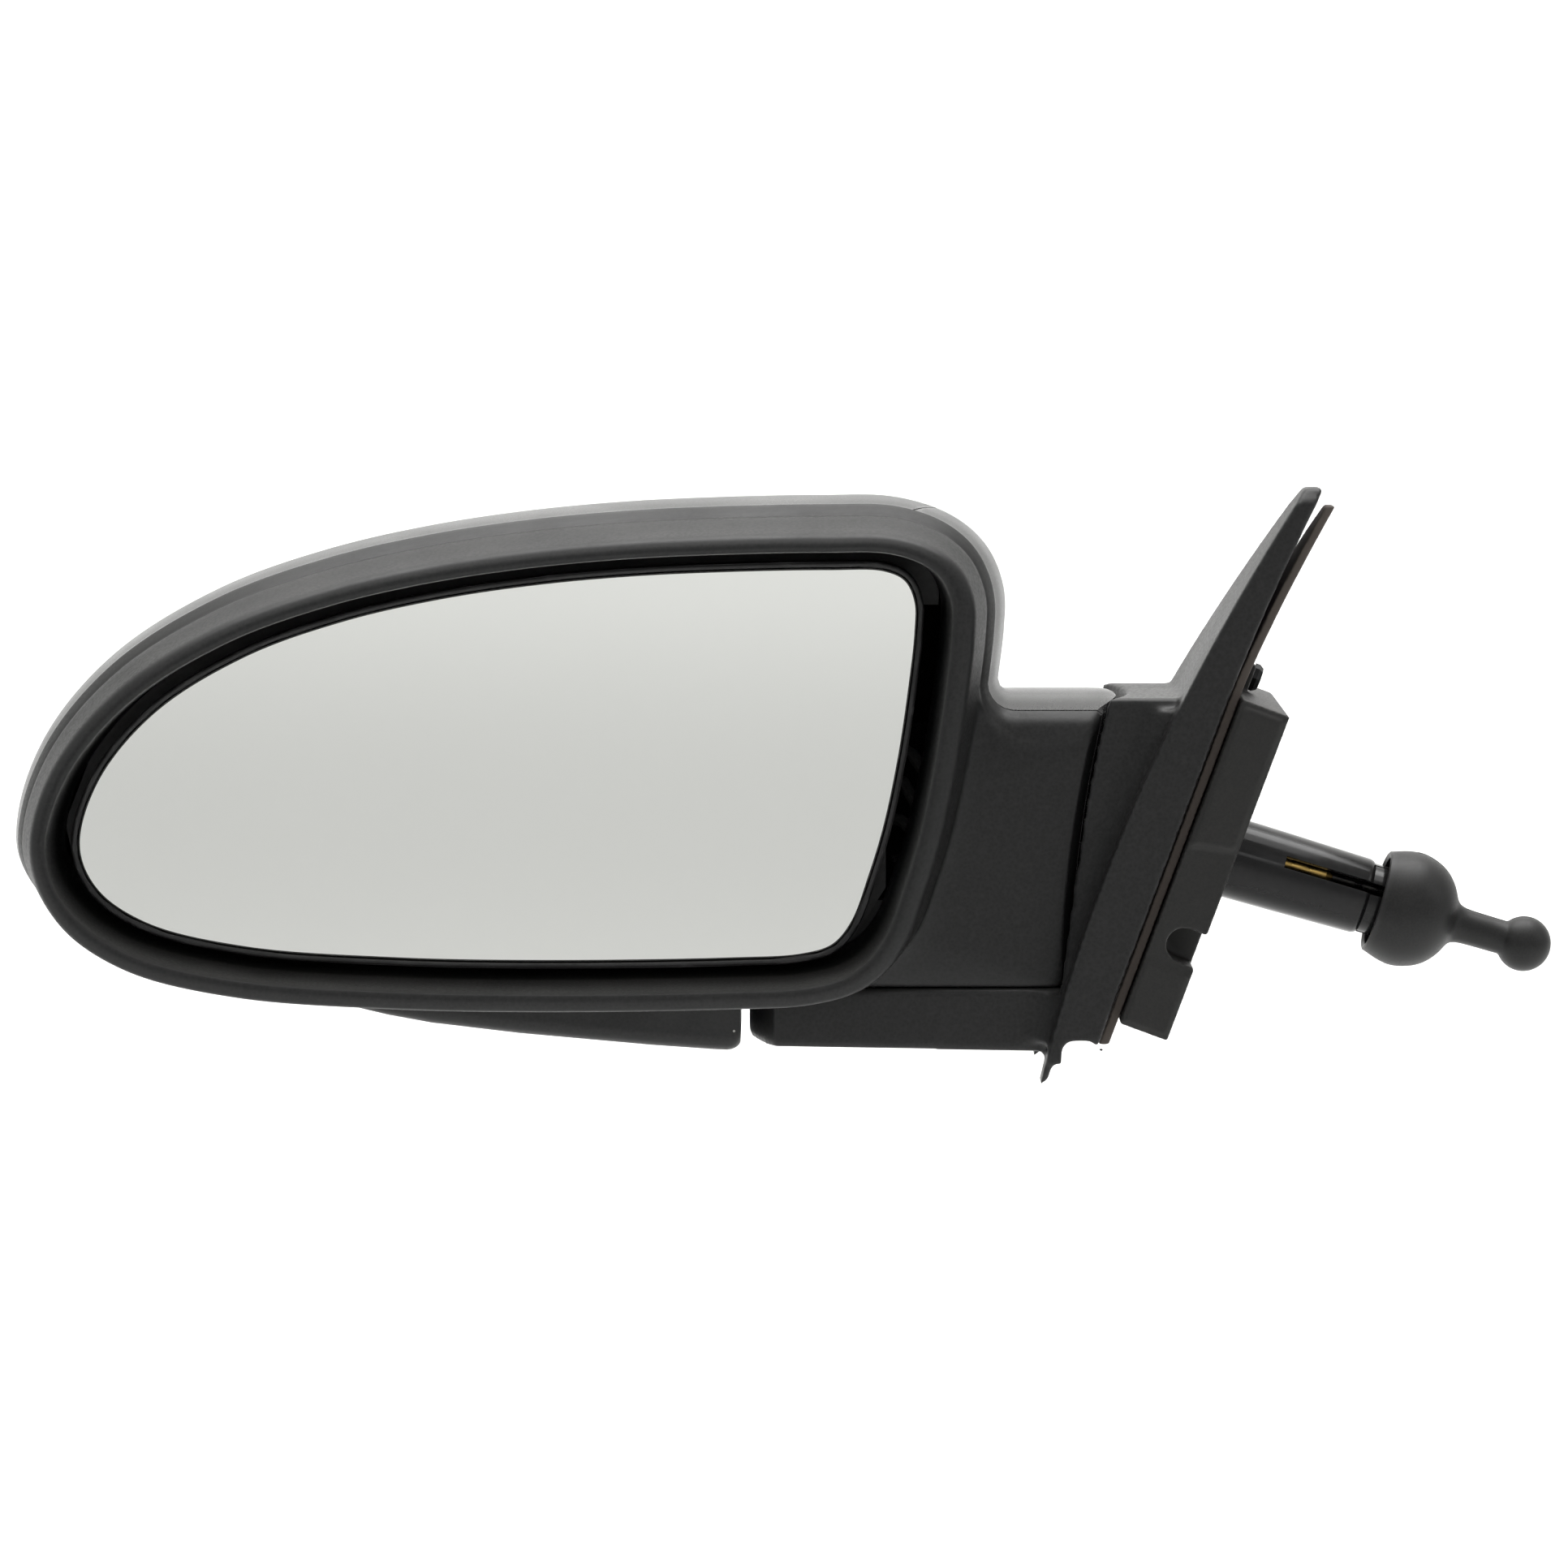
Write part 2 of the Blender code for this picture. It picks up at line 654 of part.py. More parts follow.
def guide_centres():
    """Places of the three cable guides round the glass pivot."""
    angles = [math.radians(a) for a in (210.0, 90.0, 330.0)]
    return [Vector((BALL.x + WIRE_CIRCLE * math.cos(a), 0.0, BALL.z + WIRE_CIRCLE * math.sin(a)))
            for a in angles]


def frame_screws(head):
    """Screws that would hold the frame to the front shell's bosses."""
    for number, (x, z) in enumerate(FRAME_SCREWS, 1):
        seat = Vector((x, FRAME_REAR - 0.1, z))
        shape = screw_shape(seat, Vector((0.0, 1.0, 0.0)), 3.0, 1.9, 1.35, 11.0)
        piece("frame_screw_%d" % number, shape, STEEL, 0.35, 1.0, head)


def hinge_parts(head):
    """Hollow hinge pivot on the base, with the bush, spring and rings round it."""
    up = Vector((0.0, 0.0, 1.0))
    profile = [
        (4.5, -33.4), (7.4, -33.4), (7.4, -31.8), (5.5, -31.8), (5.5, -28.3), (9.4, -28.3),
        (9.4, -25.9), (5.5, -25.9), (5.5, 1.0), (4.9, 1.0), (4.9, 2.2), (5.5, 2.2), (5.5, 4.0),
        (3.7, 4.0), (3.7, -32.5),
    ]
    piece("hinge_pivot", turned(profile, HINGE, up, 16), STEEL, 0.35, 1.0)
    detent = washer(HINGE, up, 5.9, 9.3, -25.5, -24.4)
    piece("detent_ring", detent, STEEL, 0.4, 1.0, head)
    bush = turned([(5.8, -24.0), (6.6, -24.0), (6.6, -5.9), (5.8, -5.9)], HINGE, up)
    piece("hinge_bush", bush, (0.75, 0.73, 0.68), 0.4, parent=head)
    piece("spring_seat", washer(HINGE, up, 5.8, 7.8, -5.6, -4.6), STEEL, 0.35, 1.0, head)
    wire = coil(HINGE + up * -3.65, up, 6.75, 1.45, 2.0)
    cable("hinge_spring", wire, 0.6, STEEL, 0.3, 1.0, head, resolution=1)
    collar = washer(HINGE, up, 5.1, 7.7, 1.1, 2.1)
    piece("retaining_ring", collar, STEEL, 0.35, 1.0)


# ---------------------------------------------------------------- glass and its pivot

def glass_outline_ring(y, margin, step=1):
    """The glass outline at depth y, moved out evenly."""
    indices = (OUTLINE.main + OUTLINE.low + OUTLINE.end + OUTLINE.top)[::step]
    flat = [OUTLINE.offset(i, (margin,) * 4) for i in indices]
    return [Vector((p.x, y, p.y)) for p in flat]


def glass_parts(glass, gimbal, head):
    """Glass, its adhesive pad and holder, and the cross that lets it tilt two ways."""
    pane = lofted([glass_outline_ring(GLASS_Y, 0.0), glass_outline_ring(GLASS_Y + 2.0, 0.0)])
    piece("mirror_glass", pane, (0.75, 0.76, 0.74), 0.03, 1.0, glass)
    pad = lofted([glass_outline_ring(GLASS_Y + 2.3, -4.0, 2),
                  glass_outline_ring(GLASS_Y + 3.0, -4.0, 2)])
    piece("glass_pad", pad, (0.03, 0.03, 0.03), 0.9, parent=glass)
    rings = [
        glass_outline_ring(GLASS_Y + 3.3, 0.3), glass_outline_ring(GLASS_Y - 0.2, 0.3),
        glass_outline_ring(GLASS_Y - 0.6, 1.4), glass_outline_ring(GLASS_Y + 4.8, 1.2),
    ]
    back = Vector((0.0, -1.0, 0.0))
    holder = lofted(rings)
    plate_back = GLASS_Y + 4.8
    cup = rod(BALL, back, 6.3, 2.0, 7.5, 20)
    holder = join(holder, cup)
    for sign in (-1.0, 1.0):
        z = BALL.z + sign * 10.9
        ear = box(BALL.x - 2.2, BALL.x + 2.2, plate_back - 0.4, BALL.y + 2.2, z - 1.3, z + 1.3)
        holder = join(holder, ear)
    for centre in guide_centres():
        post = rod(Vector((centre.x, 0.0, centre.z)), back, 3.0, 12.9, 19.4, 12)
        holder = join(holder, post)
    ball_room = turned(ball_profile(BALL_RADIUS + 0.3, 8), BALL, back, 16)
    mouth = rod(BALL, back, 4.1, -4.0, -0.5, 16)
    holder = cut(holder, ball_room, mouth)
    pin_holes = rod(BALL, Vector((0.0, 0.0, 1.0)), 1.3, -14.0, -9.0, 12)
    holder = cut(holder, pin_holes)
    pin_holes = rod(BALL, Vector((0.0, 0.0, 1.0)), 1.3, 9.0, 14.0, 12)
    holder = cut(holder, pin_holes)
    for centre in guide_centres():
        hole = rod(Vector((centre.x, 0.0, centre.z)), back, 1.9, 12.0, 19.0, 12)
        holder = cut(holder, hole)
    piece("glass_holder", holder, BLACK, 0.45, parent=glass)
    ring = washer(BALL, back, 7.1, 9.0, -1.6, 1.6, 16)
    ring = join(ring, *[rod(BALL, axis, 1.0, low, high, 8)
                        for axis in (Vector((1.0, 0.0, 0.0)), Vector((0.0, 0.0, 1.0)))
                        for low, high in ((-12.0, -8.0), (8.0, 12.0))])
    piece("pivot_ring", ring, (0.6, 0.6, 0.58), 0.45, parent=gimbal)
    post = turned([(0.0, -7.6), (6.0, -7.6), (6.0, -6.4), (2.4, -5.6)]
                  + ball_profile(BALL_RADIUS, 8)[2:], BALL, back, 16)
    foot = box(BALL.x - 13.0, BALL.x + 13.0, BALL.y + 6.2, BALL.y + 7.7, BALL.z - 5.0, BALL.z + 5.0)
    post = join(post, foot)
    for sign in (-1.0, 1.0):
        x = BALL.x + sign * 10.9
        post = join(post, box(x - 1.3, x + 1.3, BALL.y - 2.2, BALL.y + 7.0, BALL.z - 2.2,
                              BALL.z + 2.2))
        hole = rod(BALL, Vector((sign, 0.0, 0.0)), 1.3, 9.0, 14.0, 12)
        post = cut(post, hole)
    piece("pivot_post", post, (0.6, 0.6, 0.58), 0.45, parent=head)


def ball_profile(radius, steps):
    """Half circle from the -axis pole to the +axis pole."""
    angles = [math.pi * (i / steps - 0.5) for i in range(steps + 1)]
    profile = [(radius * math.cos(a), radius * math.sin(a)) for a in angles]
    return [(0.0, profile[0][1])] + profile[1:-1] + [(0.0, profile[-1][1])]


# ---------------------------------------------------------------- base pieces

def sail_outer(z):
    """X of the sail's outer face, which follows the curve of the door."""
    rise = z - 21.25
    return -19.4 + 0.4394 * rise + 0.00153 * rise * rise


def sail_inner(z):
    """X of the sail's inner edge, on the door plane and rising from it at the top."""
    flat = (SKIN_INNER + math.sin(DOOR_TILT) * z) / math.cos(DOOR_TILT)
    return flat + 0.0013 * max(z - 35.0, 0.0) ** 2


def gasket_middle(z):
    """X of the gasket's middle; its top end stands off the skin."""
    depth = SKIN_INNER + GAP + GASKET_THICK / 2
    flat = (depth + math.sin(DOOR_TILT) * z) / math.cos(DOOR_TILT)
    return flat + 5.2 * (max(z - 42.0, 0.0) / 42.0) ** 1.5


def bent(face, z, levels):
    """Value of x(z) face at z, with straight runs between the levels."""
    marks = [-70.0] + list(levels) + [110.0]
    low = max(mark for mark in marks[:-1] if mark <= z + 1e-6)
    high = marks[marks.index(low) + 1]
    return mix(face(low), face(high), (z - low) / (high - low))


def curved_plate(outline, near, far, levels):
    """Solid between two x(z) faces over a (y, z) outline, bent at the given z levels."""
    shape = bmesh.new()
    flat = [shape.verts.new((0.0, y, z)) for y, z in outline]
    shape.faces.new(flat)
    for level in levels:
        geometry = shape.verts[:] + shape.edges[:] + shape.faces[:]
        bmesh.ops.bisect_plane(shape, geom=geometry, plane_co=(0.0, 0.0, level),
                               plane_no=(0.0, 0.0, 1.0), dist=0.01)
    result = bmesh.ops.extrude_face_region(shape, geom=shape.faces[:])
    moved = {item for item in result["geom"] if isinstance(item, bmesh.types.BMVert)}
    for vert in shape.verts:
        vert.co.x = bent(far if vert in moved else near, vert.co.z, levels)
    bmesh.ops.recalc_face_normals(shape, faces=shape.faces)
    return shape


SAIL_LEVELS = [-20.0, 0.0, 20.0, 36.0, 47.0, 62.0, 77.0]


def sail_outline(inset, bottom=-42.0):
    """Triangle of the sail in (y, z), made smaller by inset."""
    i = inset
    return [(-30.0 + i, bottom + i), (52.0 - i, bottom + i), (60.0 - i, -34.0 + i * 0.4),
            (60.0 - i, -8.0 - i * 0.4), (54.0 - i * 0.9, 2.0 - i * 0.7),
            (-14.0 - i * 0.9, 84.0 - i * 0.9), (-20.0 - i * 0.2, 88.0 - i * 1.3),
            (-27.0 + i * 0.7, 88.0 - i * 1.3), (-30.0 + i, 85.0 - i * 0.6)]


def shelf_plan(inset, inboard):
    """Plan outline of the shelf: round about the hinge at its outboard end."""
    radius = SHELF_RADIUS - inset
    rear, front = SHELF_REAR + inset, SHELF_FRONT - inset
    start = math.pi - math.asin((front - HINGE.y) / radius)
    stop = math.pi + math.asin((HINGE.y - rear) / radius)
    arc = circle(HINGE.x, HINGE.y, radius, 15, start, stop - start)
    return arc + [(inboard, rear), (inboard, front)]


def fold_wall(extra, z_low=None):
    """Solid swept by the arm's end, grown by extra: what the base must leave free."""
    levels = [SHELF_TOP if z_low is None else z_low, -10.0, 5.0, 18.0, 30.0, 45.0]
    profile = [(0.0, levels[0])]
    profile += [(arm_radius(z) + extra, z) for z in levels]
    profile.append((0.0, levels[-1]))
    return turned(profile, HINGE, Vector((0.0, 0.0, 1.0)), 48)


def base_skin():
    """Textured skin: shelf, wall at the fold gap and sail, hollow on the door side."""
    sail = curved_plate(sail_outline(0.0), sail_outer, sail_inner, SAIL_LEVELS)
    shelf_side = [(-110.0, -38.9), (-26.0, -40.5), (-26.0, SHELF_TOP), (-110.0, SHELF_TOP)]
    shelf = combine(along_y(shelf_side, -40.0, 40.0), along_z(shelf_plan(0.0, -27.6), -60.0, 0.0),
                    "INTERSECT")
    wall_side = [(-50.0, SHELF_TOP - 1.0), (-30.0, SHELF_TOP - 1.0), (-24.0, -5.0), (-14.0, 20.0),
                 (-5.0, 40.2), (-50.0, 40.2)]
    wall = along_y(wall_side, SHELF_REAR, SHELF_FRONT)
    lip_side = [(sail_outer(-36.0), -36.0), (sail_outer(-47.0), -47.0),
                (sail_outer(-47.0) + 1.8, -45.6), (sail_outer(-36.0) + 2.2, -36.0)]
    lip = along_y(lip_side, -29.9, 50.0)
    shape = join(cut(join(sail, wall), fold_wall(FOLD_GAP, SHELF_TOP - 0.9)), shelf, lip)
    pocket = curved_plate(sail_outline(SKIN, -60.0), lambda z: sail_outer(z) + SKIN,
                          lambda z: sail_inner(z) + 12.0, SAIL_LEVELS)
    keep_top = box(-200.0, 200.0, -100.0, 100.0, -200.0, -39.6)
    pocket = cut(pocket, keep_top)
    shelf_room = along_z(shelf_plan(SKIN, -32.0), -60.0, SHELF_TOP - SKIN)
    extend = box(-34.0, -24.0, SHELF_REAR + SKIN + 0.4, SHELF_FRONT - SKIN - 0.4, -39.0,
                 SHELF_TOP - SKIN - 0.2)
    wall_room_side = [(-50.0, SHELF_TOP - SKIN - 0.5), (-20.0, SHELF_TOP - SKIN - 0.5),
                      (-8.0, 10.0), (0.0, 37.8), (-50.0, 37.8)]
    wall_room = along_y(wall_room_side, SHELF_REAR + SKIN + 0.2, SHELF_FRONT - SKIN - 0.2)
    rooms = cut(join(pocket, wall_room), fold_wall(FOLD_GAP + SKIN, SHELF_TOP - SKIN - 0.7))
    pivot_hole = rod(HINGE, Vector((0.0, 0.0, 1.0)), 9.8, -32.0, -20.0)
    notch = along_y([(-37.4, -60.0), (-37.4, -38.6), (-35.6, -36.8), (-31.0, -36.8),
                     (-29.0, -38.6), (-29.0, -60.0)], -31.0, -20.0)
    shape = cut(shape, join(rooms, shelf_room, extend), pivot_hole, notch)
    for y, up, depth in SKIN_SCREWS:
        boss = along_door(circle(y, up, 3.4, 12), depth, SKIN_INNER)
        shape = join(shape, boss)
        shape = cut(shape, along_door(circle(y, up, 1.7, 12), SKIN_INNER - 5.0, 0.0))
    piece("base_skin", shape, BLACK, 0.55)


SKIN_SCREWS = [(38.0, -2.0, -25.0), (2.0, 42.8, -22.5)]
INSERTS = [("insert_rear", -20.0, 29.0), ("insert_front", 18.0, 29.0), ("insert_lower", 10.0, -29.0)]


def base_gasket():
    """Thin seal between the skin and the door, with a window for the bracket's ribs."""
    outline = [(-27.0, -38.0), (50.0, -38.0), (56.0, -32.0), (56.0, -10.0), (51.0, -1.0),
               (-14.0, 78.0), (-21.0, 84.0), (-27.0, 84.0)]
    half = GASKET_THICK / 2 / math.cos(DOOR_TILT)
    shape = curved_plate(outline, lambda z: gasket_middle(z) - half,
                         lambda z: gasket_middle(z) + half, SAIL_LEVELS)
    window = along_door(rectangle(-20.0, 15.6, -42.3, 32.0), -30.0, 10.0)
    shape = cut(shape, window)
    for y, up, _ in SKIN_SCREWS:
        shape = cut(shape, along_door(circle(y, up, 3.9, 12), -30.0, 0.0))
    piece("base_gasket", shape, (0.06, 0.055, 0.05), 0.9)


def base_bracket():
    """Mounting block, its ribs and the plate that carries the hinge pivot."""
    block_side = [(-BLOCK_THICK, -BLOCK_HALF_HEIGHT), (0.0, -BLOCK_HALF_HEIGHT),
                  (0.0, BLOCK_HALF_HEIGHT), (-BLOCK_THICK, BLOCK_HALF_HEIGHT)]
    block = prism(block_side, lambda n, v, y: DOOR_NORMAL * n + DOOR_UP * v + SIDE * y,
                  BLOCK_REAR, BLOCK_FRONT)
    plate_top = SHELF_TOP - SKIN - GAP
    plate = along_z(circle(HINGE.x, HINGE.y, 13.0, 13, math.pi / 2, math.pi)
                    + [(-22.5, HINGE.y - 13.0), (-22.5, HINGE.y + 13.0)], -31.5, plate_top)
    rib_side = [(-25.6, -31.4), (-22.8, -31.4), (0.4, 32.0), (-19.6, 32.0), (-22.1, 20.0),
                (-24.1, 8.0), (-25.6, -6.0)]
    ribs = [along_y(rib_side, low, low + 3.0) for low in (-14.5, 7.5)]
    tabs = [along_door(rectangle(BLOCK_FRONT - 1.0, 43.0, -7.0, 3.0), -BLOCK_THICK, -8.5),
            along_door(rectangle(-3.0, 7.0, BLOCK_HALF_HEIGHT - 1.0, 45.8), -BLOCK_THICK, -8.5)]
    shape = join(block, plate, *ribs, *tabs)
    bore = rod(LEVER, LEVER_AXIS, 9.6, -80.0, -20.0, 24)
    pivot_bore = rod(HINGE, Vector((0.0, 0.0, 1.0)), 5.8, -40.0, -20.0)
    notch_shape = circle(-4.2, -17.6, 3.95, 9, math.pi / 2, math.pi) + [(2.0, -21.55), (2.0, -13.65)]
    notch = prism(notch_shape, lambda n, v, y: DOOR_NORMAL * n + DOOR_UP * v + SIDE * y,
                  BLOCK_REAR - 1.0, BLOCK_REAR + 12.0)
    cable_slot = box(-31.0, -22.6, -8.4, 4.4, -33.0, -27.0)
    shape = cut(shape, bore, pivot_bore, notch, cable_slot)
    for _, y, up in INSERTS:
        shape = cut(shape, along_door(circle(y, up, 5.3, 16), -9.8, 1.0))
        shape = cut(shape, along_door(circle(y, up, 3.2, 12), -20.0, 1.0))
    for y, up, _ in SKIN_SCREWS:
        shape = cut(shape, along_door(circle(y, up, 1.8, 12), -20.0, 1.0))
    piece("base_bracket", shape, (0.025, 0.025, 0.026), 0.5)


def base_fasteners():
    """Threaded inserts in the block and the screws that hold the skin."""
    for name, y, up in INSERTS:
        centre = DOOR_UP * up + SIDE * y
        piece(name, washer(centre, DOOR_NORMAL, 3.1, 5.0, -9.5, -0.2, 16), BRASS, 0.35, 1.0)
    for number, (y, up, _) in enumerate(SKIN_SCREWS, 1):
        seat = DOOR_UP * up + SIDE * y + DOOR_NORMAL * -8.4
        shape = screw_shape(seat, -DOOR_NORMAL, 3.2, 2.0, 1.35, 9.6)
        piece("skin_screw_%d" % number, shape, STEEL, 0.35, 1.0)


# ---------------------------------------------------------------- lever

def lever_point(along, out=0.0, angle=0.0):
    """Point near the lever's axis: distance along it, then out from it at an angle."""
    return (LEVER + LEVER_AXIS * along
            + (-SIDE * math.cos(angle) + LEVER_UP * math.sin(angle)) * out)


def lever_parts(cross_body, lever_body):
    """Slotted tube, guide plate, anti-rotation cross and the hand lever."""
    profile = [(TUBE_BORE, -53.0), (9.3, -53.0), (9.2, -38.0), (8.7, -10.4), (7.8, -9.0),
               (TUBE_BORE, -9.0)]
    tube = turned(profile, LEVER, LEVER_AXIS, 24)
    tube = join(tube, *[lever_box(-12.0, 1.9, -2.0, 2.0, *span)
                        for span in ((4.6, 7.9), (-7.9, -4.6))])
    slot_turn = math.radians(22.0)
    slot = []
    for along in (-30.0, 2.0):
        middle = [lever_point(along, 4.0, slot_turn), lever_point(along, 12.0, slot_turn)]
        wide = (-SIDE * -math.sin(slot_turn) + LEVER_UP * math.cos(slot_turn)) * 1.4
        slot.append([middle[0] - wide, middle[1] - wide, middle[1] + wide, middle[0] + wide])
    tube = cut(tube, lofted(slot), rod(LEVER, LEVER_UP, 1.3, -14.0, 14.0, 12))
    piece("lever_tube", tube, (0.012, 0.012, 0.013), 0.12)
    guide = rod(LEVER, LEVER_AXIS, TUBE_BORE - GAP, -34.0, -31.0, 20)
    for angle in CABLE_ANGLES:
        guide = cut(guide, rod(lever_point(0.0, 4.4, angle), LEVER_AXIS, 1.75, -40.0, -20.0, 12))
    piece("cable_guide", guide, BLACK, 0.5)
    cross = washer(LEVER, LEVER_AXIS, 1.6, 3.4, -1.4, 1.4, 16)
    cross = join(cross, *[rod(LEVER, axis, 1.0, low, high, 8) for axis in (SIDE, LEVER_UP)
                          for low, high in ((-7.6, -2.6), (2.6, 7.6))])
    piece("lever_cross", cross, (0.6, 0.6, 0.58), 0.45, parent=cross_body)
    outside = [(11.65, -6.7), (13.2, -2.0), (13.2, 1.8), (11.6, 6.3), (8.5, 9.5), (4.6, 11.4),
               (3.85, 13.4), (3.75, STEM_LENGTH - 5.4)]
    ball = [(6.2 * math.cos(a), STEM_LENGTH + 6.2 * math.sin(a))
            for a in (math.radians(d) for d in (-42.0, -15.0, 15.0, 45.0, 70.0))]
    inside = [(0.0, STEM_LENGTH + 6.2), (0.0, 2.6)]
    hollow = [(12.1 * math.sin(a), -12.1 * math.cos(a))
              for a in (math.radians(d) for d in (102.4, 86.0, 70.0, 57.0))]
    handle = turned(outside + ball + inside + hollow, LEVER, LEVER_AXIS, 18)
    handle = join(handle, *[lever_box(-1.9, 3.2, sign * 4.8, sign * 11.0, -2.0, 2.0)
                            for sign in (-1.0, 1.0)])
    handle = cut(handle, rod(LEVER, SIDE, 1.3, -9.6, -4.0, 12),
                 rod(LEVER, SIDE, 1.3, 4.0, 9.6, 12))
    for angle in CABLE_ANGLES:
        handle = cut(handle, rod(lever_point(0.0, 4.4, angle), LEVER_AXIS, 1.7, 0.0, 6.4, 12))
    handle = cut(handle, *[lever_box(1.9, 4.4, -2.9, 2.9, *span)
                           for span in ((3.3, 9.2), (-9.2, -3.3))])
    piece("lever_handle", handle, (0.03, 0.03, 0.03), 0.6, parent=lever_body)


def lever_box(along_low, along_high, y_low, y_high, up_low, up_high):
    """Block lined up with the lever, about its centre."""
    outline = rectangle(along_low, along_high, min(y_low, y_high), max(y_low, y_high))
    return prism(outline, lambda a, b, c: LEVER + LEVER_AXIS * a + SIDE * b + LEVER_UP * c,
                 up_low, up_high)


CABLE_ANGLES = [math.radians(a) for a in (35.0, 145.0, 215.0)]
CABLE_NAMES = ["first", "second", "third"]
SHEATH = 1.45
WIRE = 0.45


def control_cables(head):
    """Three cables from the lever through the hinge pivot to the glass holder."""
    rear = Vector((0.0, -1.0, 0.0))
    sets = zip(CABLE_NAMES, CABLE_ANGLES, PIVOT_LANES, TUBE_TO_WALL, PIVOT_TO_GUIDE, guide_centres())
    for name, angle, lane, base_way, head_way, guide in sets:
        ferrule = turned([(0.75, -36.5), (1.45, -36.5), (1.45, -29.6), (0.75, -29.6)],
                         lever_point(0.0, 4.4, angle), LEVER_AXIS, 8)
        piece("lever_ferrule_" + name, ferrule, BRASS, 0.3, 1.0)
        wire = [lever_point(along, 4.4, angle) for along in (-36.0, -20.0, 4.2)]
        cable("lever_wire_" + name, wire, WIRE, STEEL, 0.3, 1.0, resolution=1)
        start = HINGE + Vector((*lane, 0.0))
        route = [lever_point(along, 4.4, angle) for along in (-36.9, -46.0, -54.0)]
        route += base_way + wall_to_pivot(base_way[-1].y, start)
        cable("base_cable_" + name, smooth_route(route, 5.0), SHEATH, (0.03, 0.03, 0.03), 0.5)
        route = [start + Vector((0.0, 0.0, z)) for z in (-10.0, -3.0, 4.0)] + head_way
        route += [Vector((guide.x, 5.4, guide.z))]
        cable("head_cable_" + name, smooth_route(route, 6.0), SHEATH, (0.03, 0.03, 0.03), 0.5,
              parent=head)
        end = turned([(0.75, -5.1), (1.45, -5.1), (1.45, 3.6), (0.75, 3.6)],
                     Vector((guide.x, 0.0, guide.z)), rear, 8)
        piece("glass_ferrule_" + name, end, BRASS, 0.3, 1.0, head)
        wire = [Vector((guide.x, y, guide.z)) for y in (4.6, -6.0, -15.6)]
        cable("glass_wire_" + name, wire, WIRE, STEEL, 0.3, 1.0, head, resolution=1)


# Where each cable lies inside the hinge pivot, and the ways it takes before and after it.
PIVOT_LANES = [(-0.88, 1.52), (1.75, 0.0), (-0.88, -1.52)]
TUBE_TO_WALL = [
    [Vector((-16.6, -15.8, 9.6)), Vector((-19.6, -8.6, 9.0)), Vector((-20.0, -1.4, 4.6)),
     Vector((-20.2, 2.0, -4.0))],
    [Vector((-15.8, -9.4, 7.4)), Vector((-17.4, -5.0, 3.6)), Vector((-19.0, -2.0, -4.0))],
    [Vector((-15.2, -9.8, 2.4)), Vector((-17.4, -7.6, -1.8)), Vector((-19.8, -6.0, -7.0))],
]
PIVOT_TO_GUIDE = [
    [Vector((-69.6, 0.9, 13.2)), Vector((-76.0, 5.5, 20.0)), Vector((-100.0, 14.0, 21.0)),
     Vector((-140.0, 19.5, 16.0)), Vector((-165.0, 17.5, 11.5)), Vector((-173.5, 11.5, 11.0))],
    [Vector((-66.5, -1.4, 14.0)), Vector((-70.6, 3.0, 25.0)), Vector((-95.0, 12.0, 34.0)),
     Vector((-130.0, 17.0, 42.0)), Vector((-148.0, 15.5, 44.6)), Vector((-154.6, 11.0, 44.0))],
    [Vector((-70.4, -3.0, 8.4)), Vector((-75.5, 1.8, 10.4)), Vector((-90.0, 8.0, 10.0)),
     Vector((-115.0, 13.0, 9.4)), Vector((-129.0, 14.2, 10.4)), Vector((-135.5, 10.8, 11.0))],
]


def wall_to_pivot(side, pivot):
    """Way of a base cable down behind the wall, under the plate and up into the pivot."""
    way = [Vector((x, side, z)) for x, z in ((-21.8, -12.0), (-23.3, -20.0), (-24.0, -25.2),
                                             (-25.0, -28.8), (-27.8, -32.6), (-33.0, -36.0))]
    lane = HINGE.y + 0.8 * (side - HINGE.y)
    way += [Vector((x, lane, -37.2)) for x in (-42.0, -52.0, pivot.x + 9.0)]
    way += [Vector((pivot.x + 2.6, mix(lane, pivot.y, 0.15), -36.5)),
            Vector((pivot.x + 0.3, pivot.y, -33.9))]
    return way + [Vector((pivot.x, pivot.y, z)) for z in (-31.0, -24.0, -10.3)]


def build():
    """Make the whole mirror."""
    clear_scene()
    head = body("head", HINGE)
    glass_gimbal = body("glass_gimbal", BALL)
    glass = body("glass", BALL)
    lever_gimbal = body("lever_gimbal", LEVER)
    lever = body("lever", LEVER)
    base_skin()
    base_gasket()
    base_bracket()
    base_fasteners()
    rear_housing(head)
    front_covers(head)
    lower_shell(head)
    head_frame(head)
    frame_screws(head)
    hinge_parts(head)
    glass_parts(glass, glass_gimbal, head)
    lever_parts(lever_gimbal, lever)
    control_cables(head)


build()
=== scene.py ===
"""Visible surfaces of a car door mirror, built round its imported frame.

The row frame has +X into the car, +Y to the front of the car and +Z up. The classes hold
their sizes in millimetres and every finished mesh is scaled to metres.
"""
import json
import logging
import math
from dataclasses import dataclass, field
from collections.abc import Callable
from enum import Enum

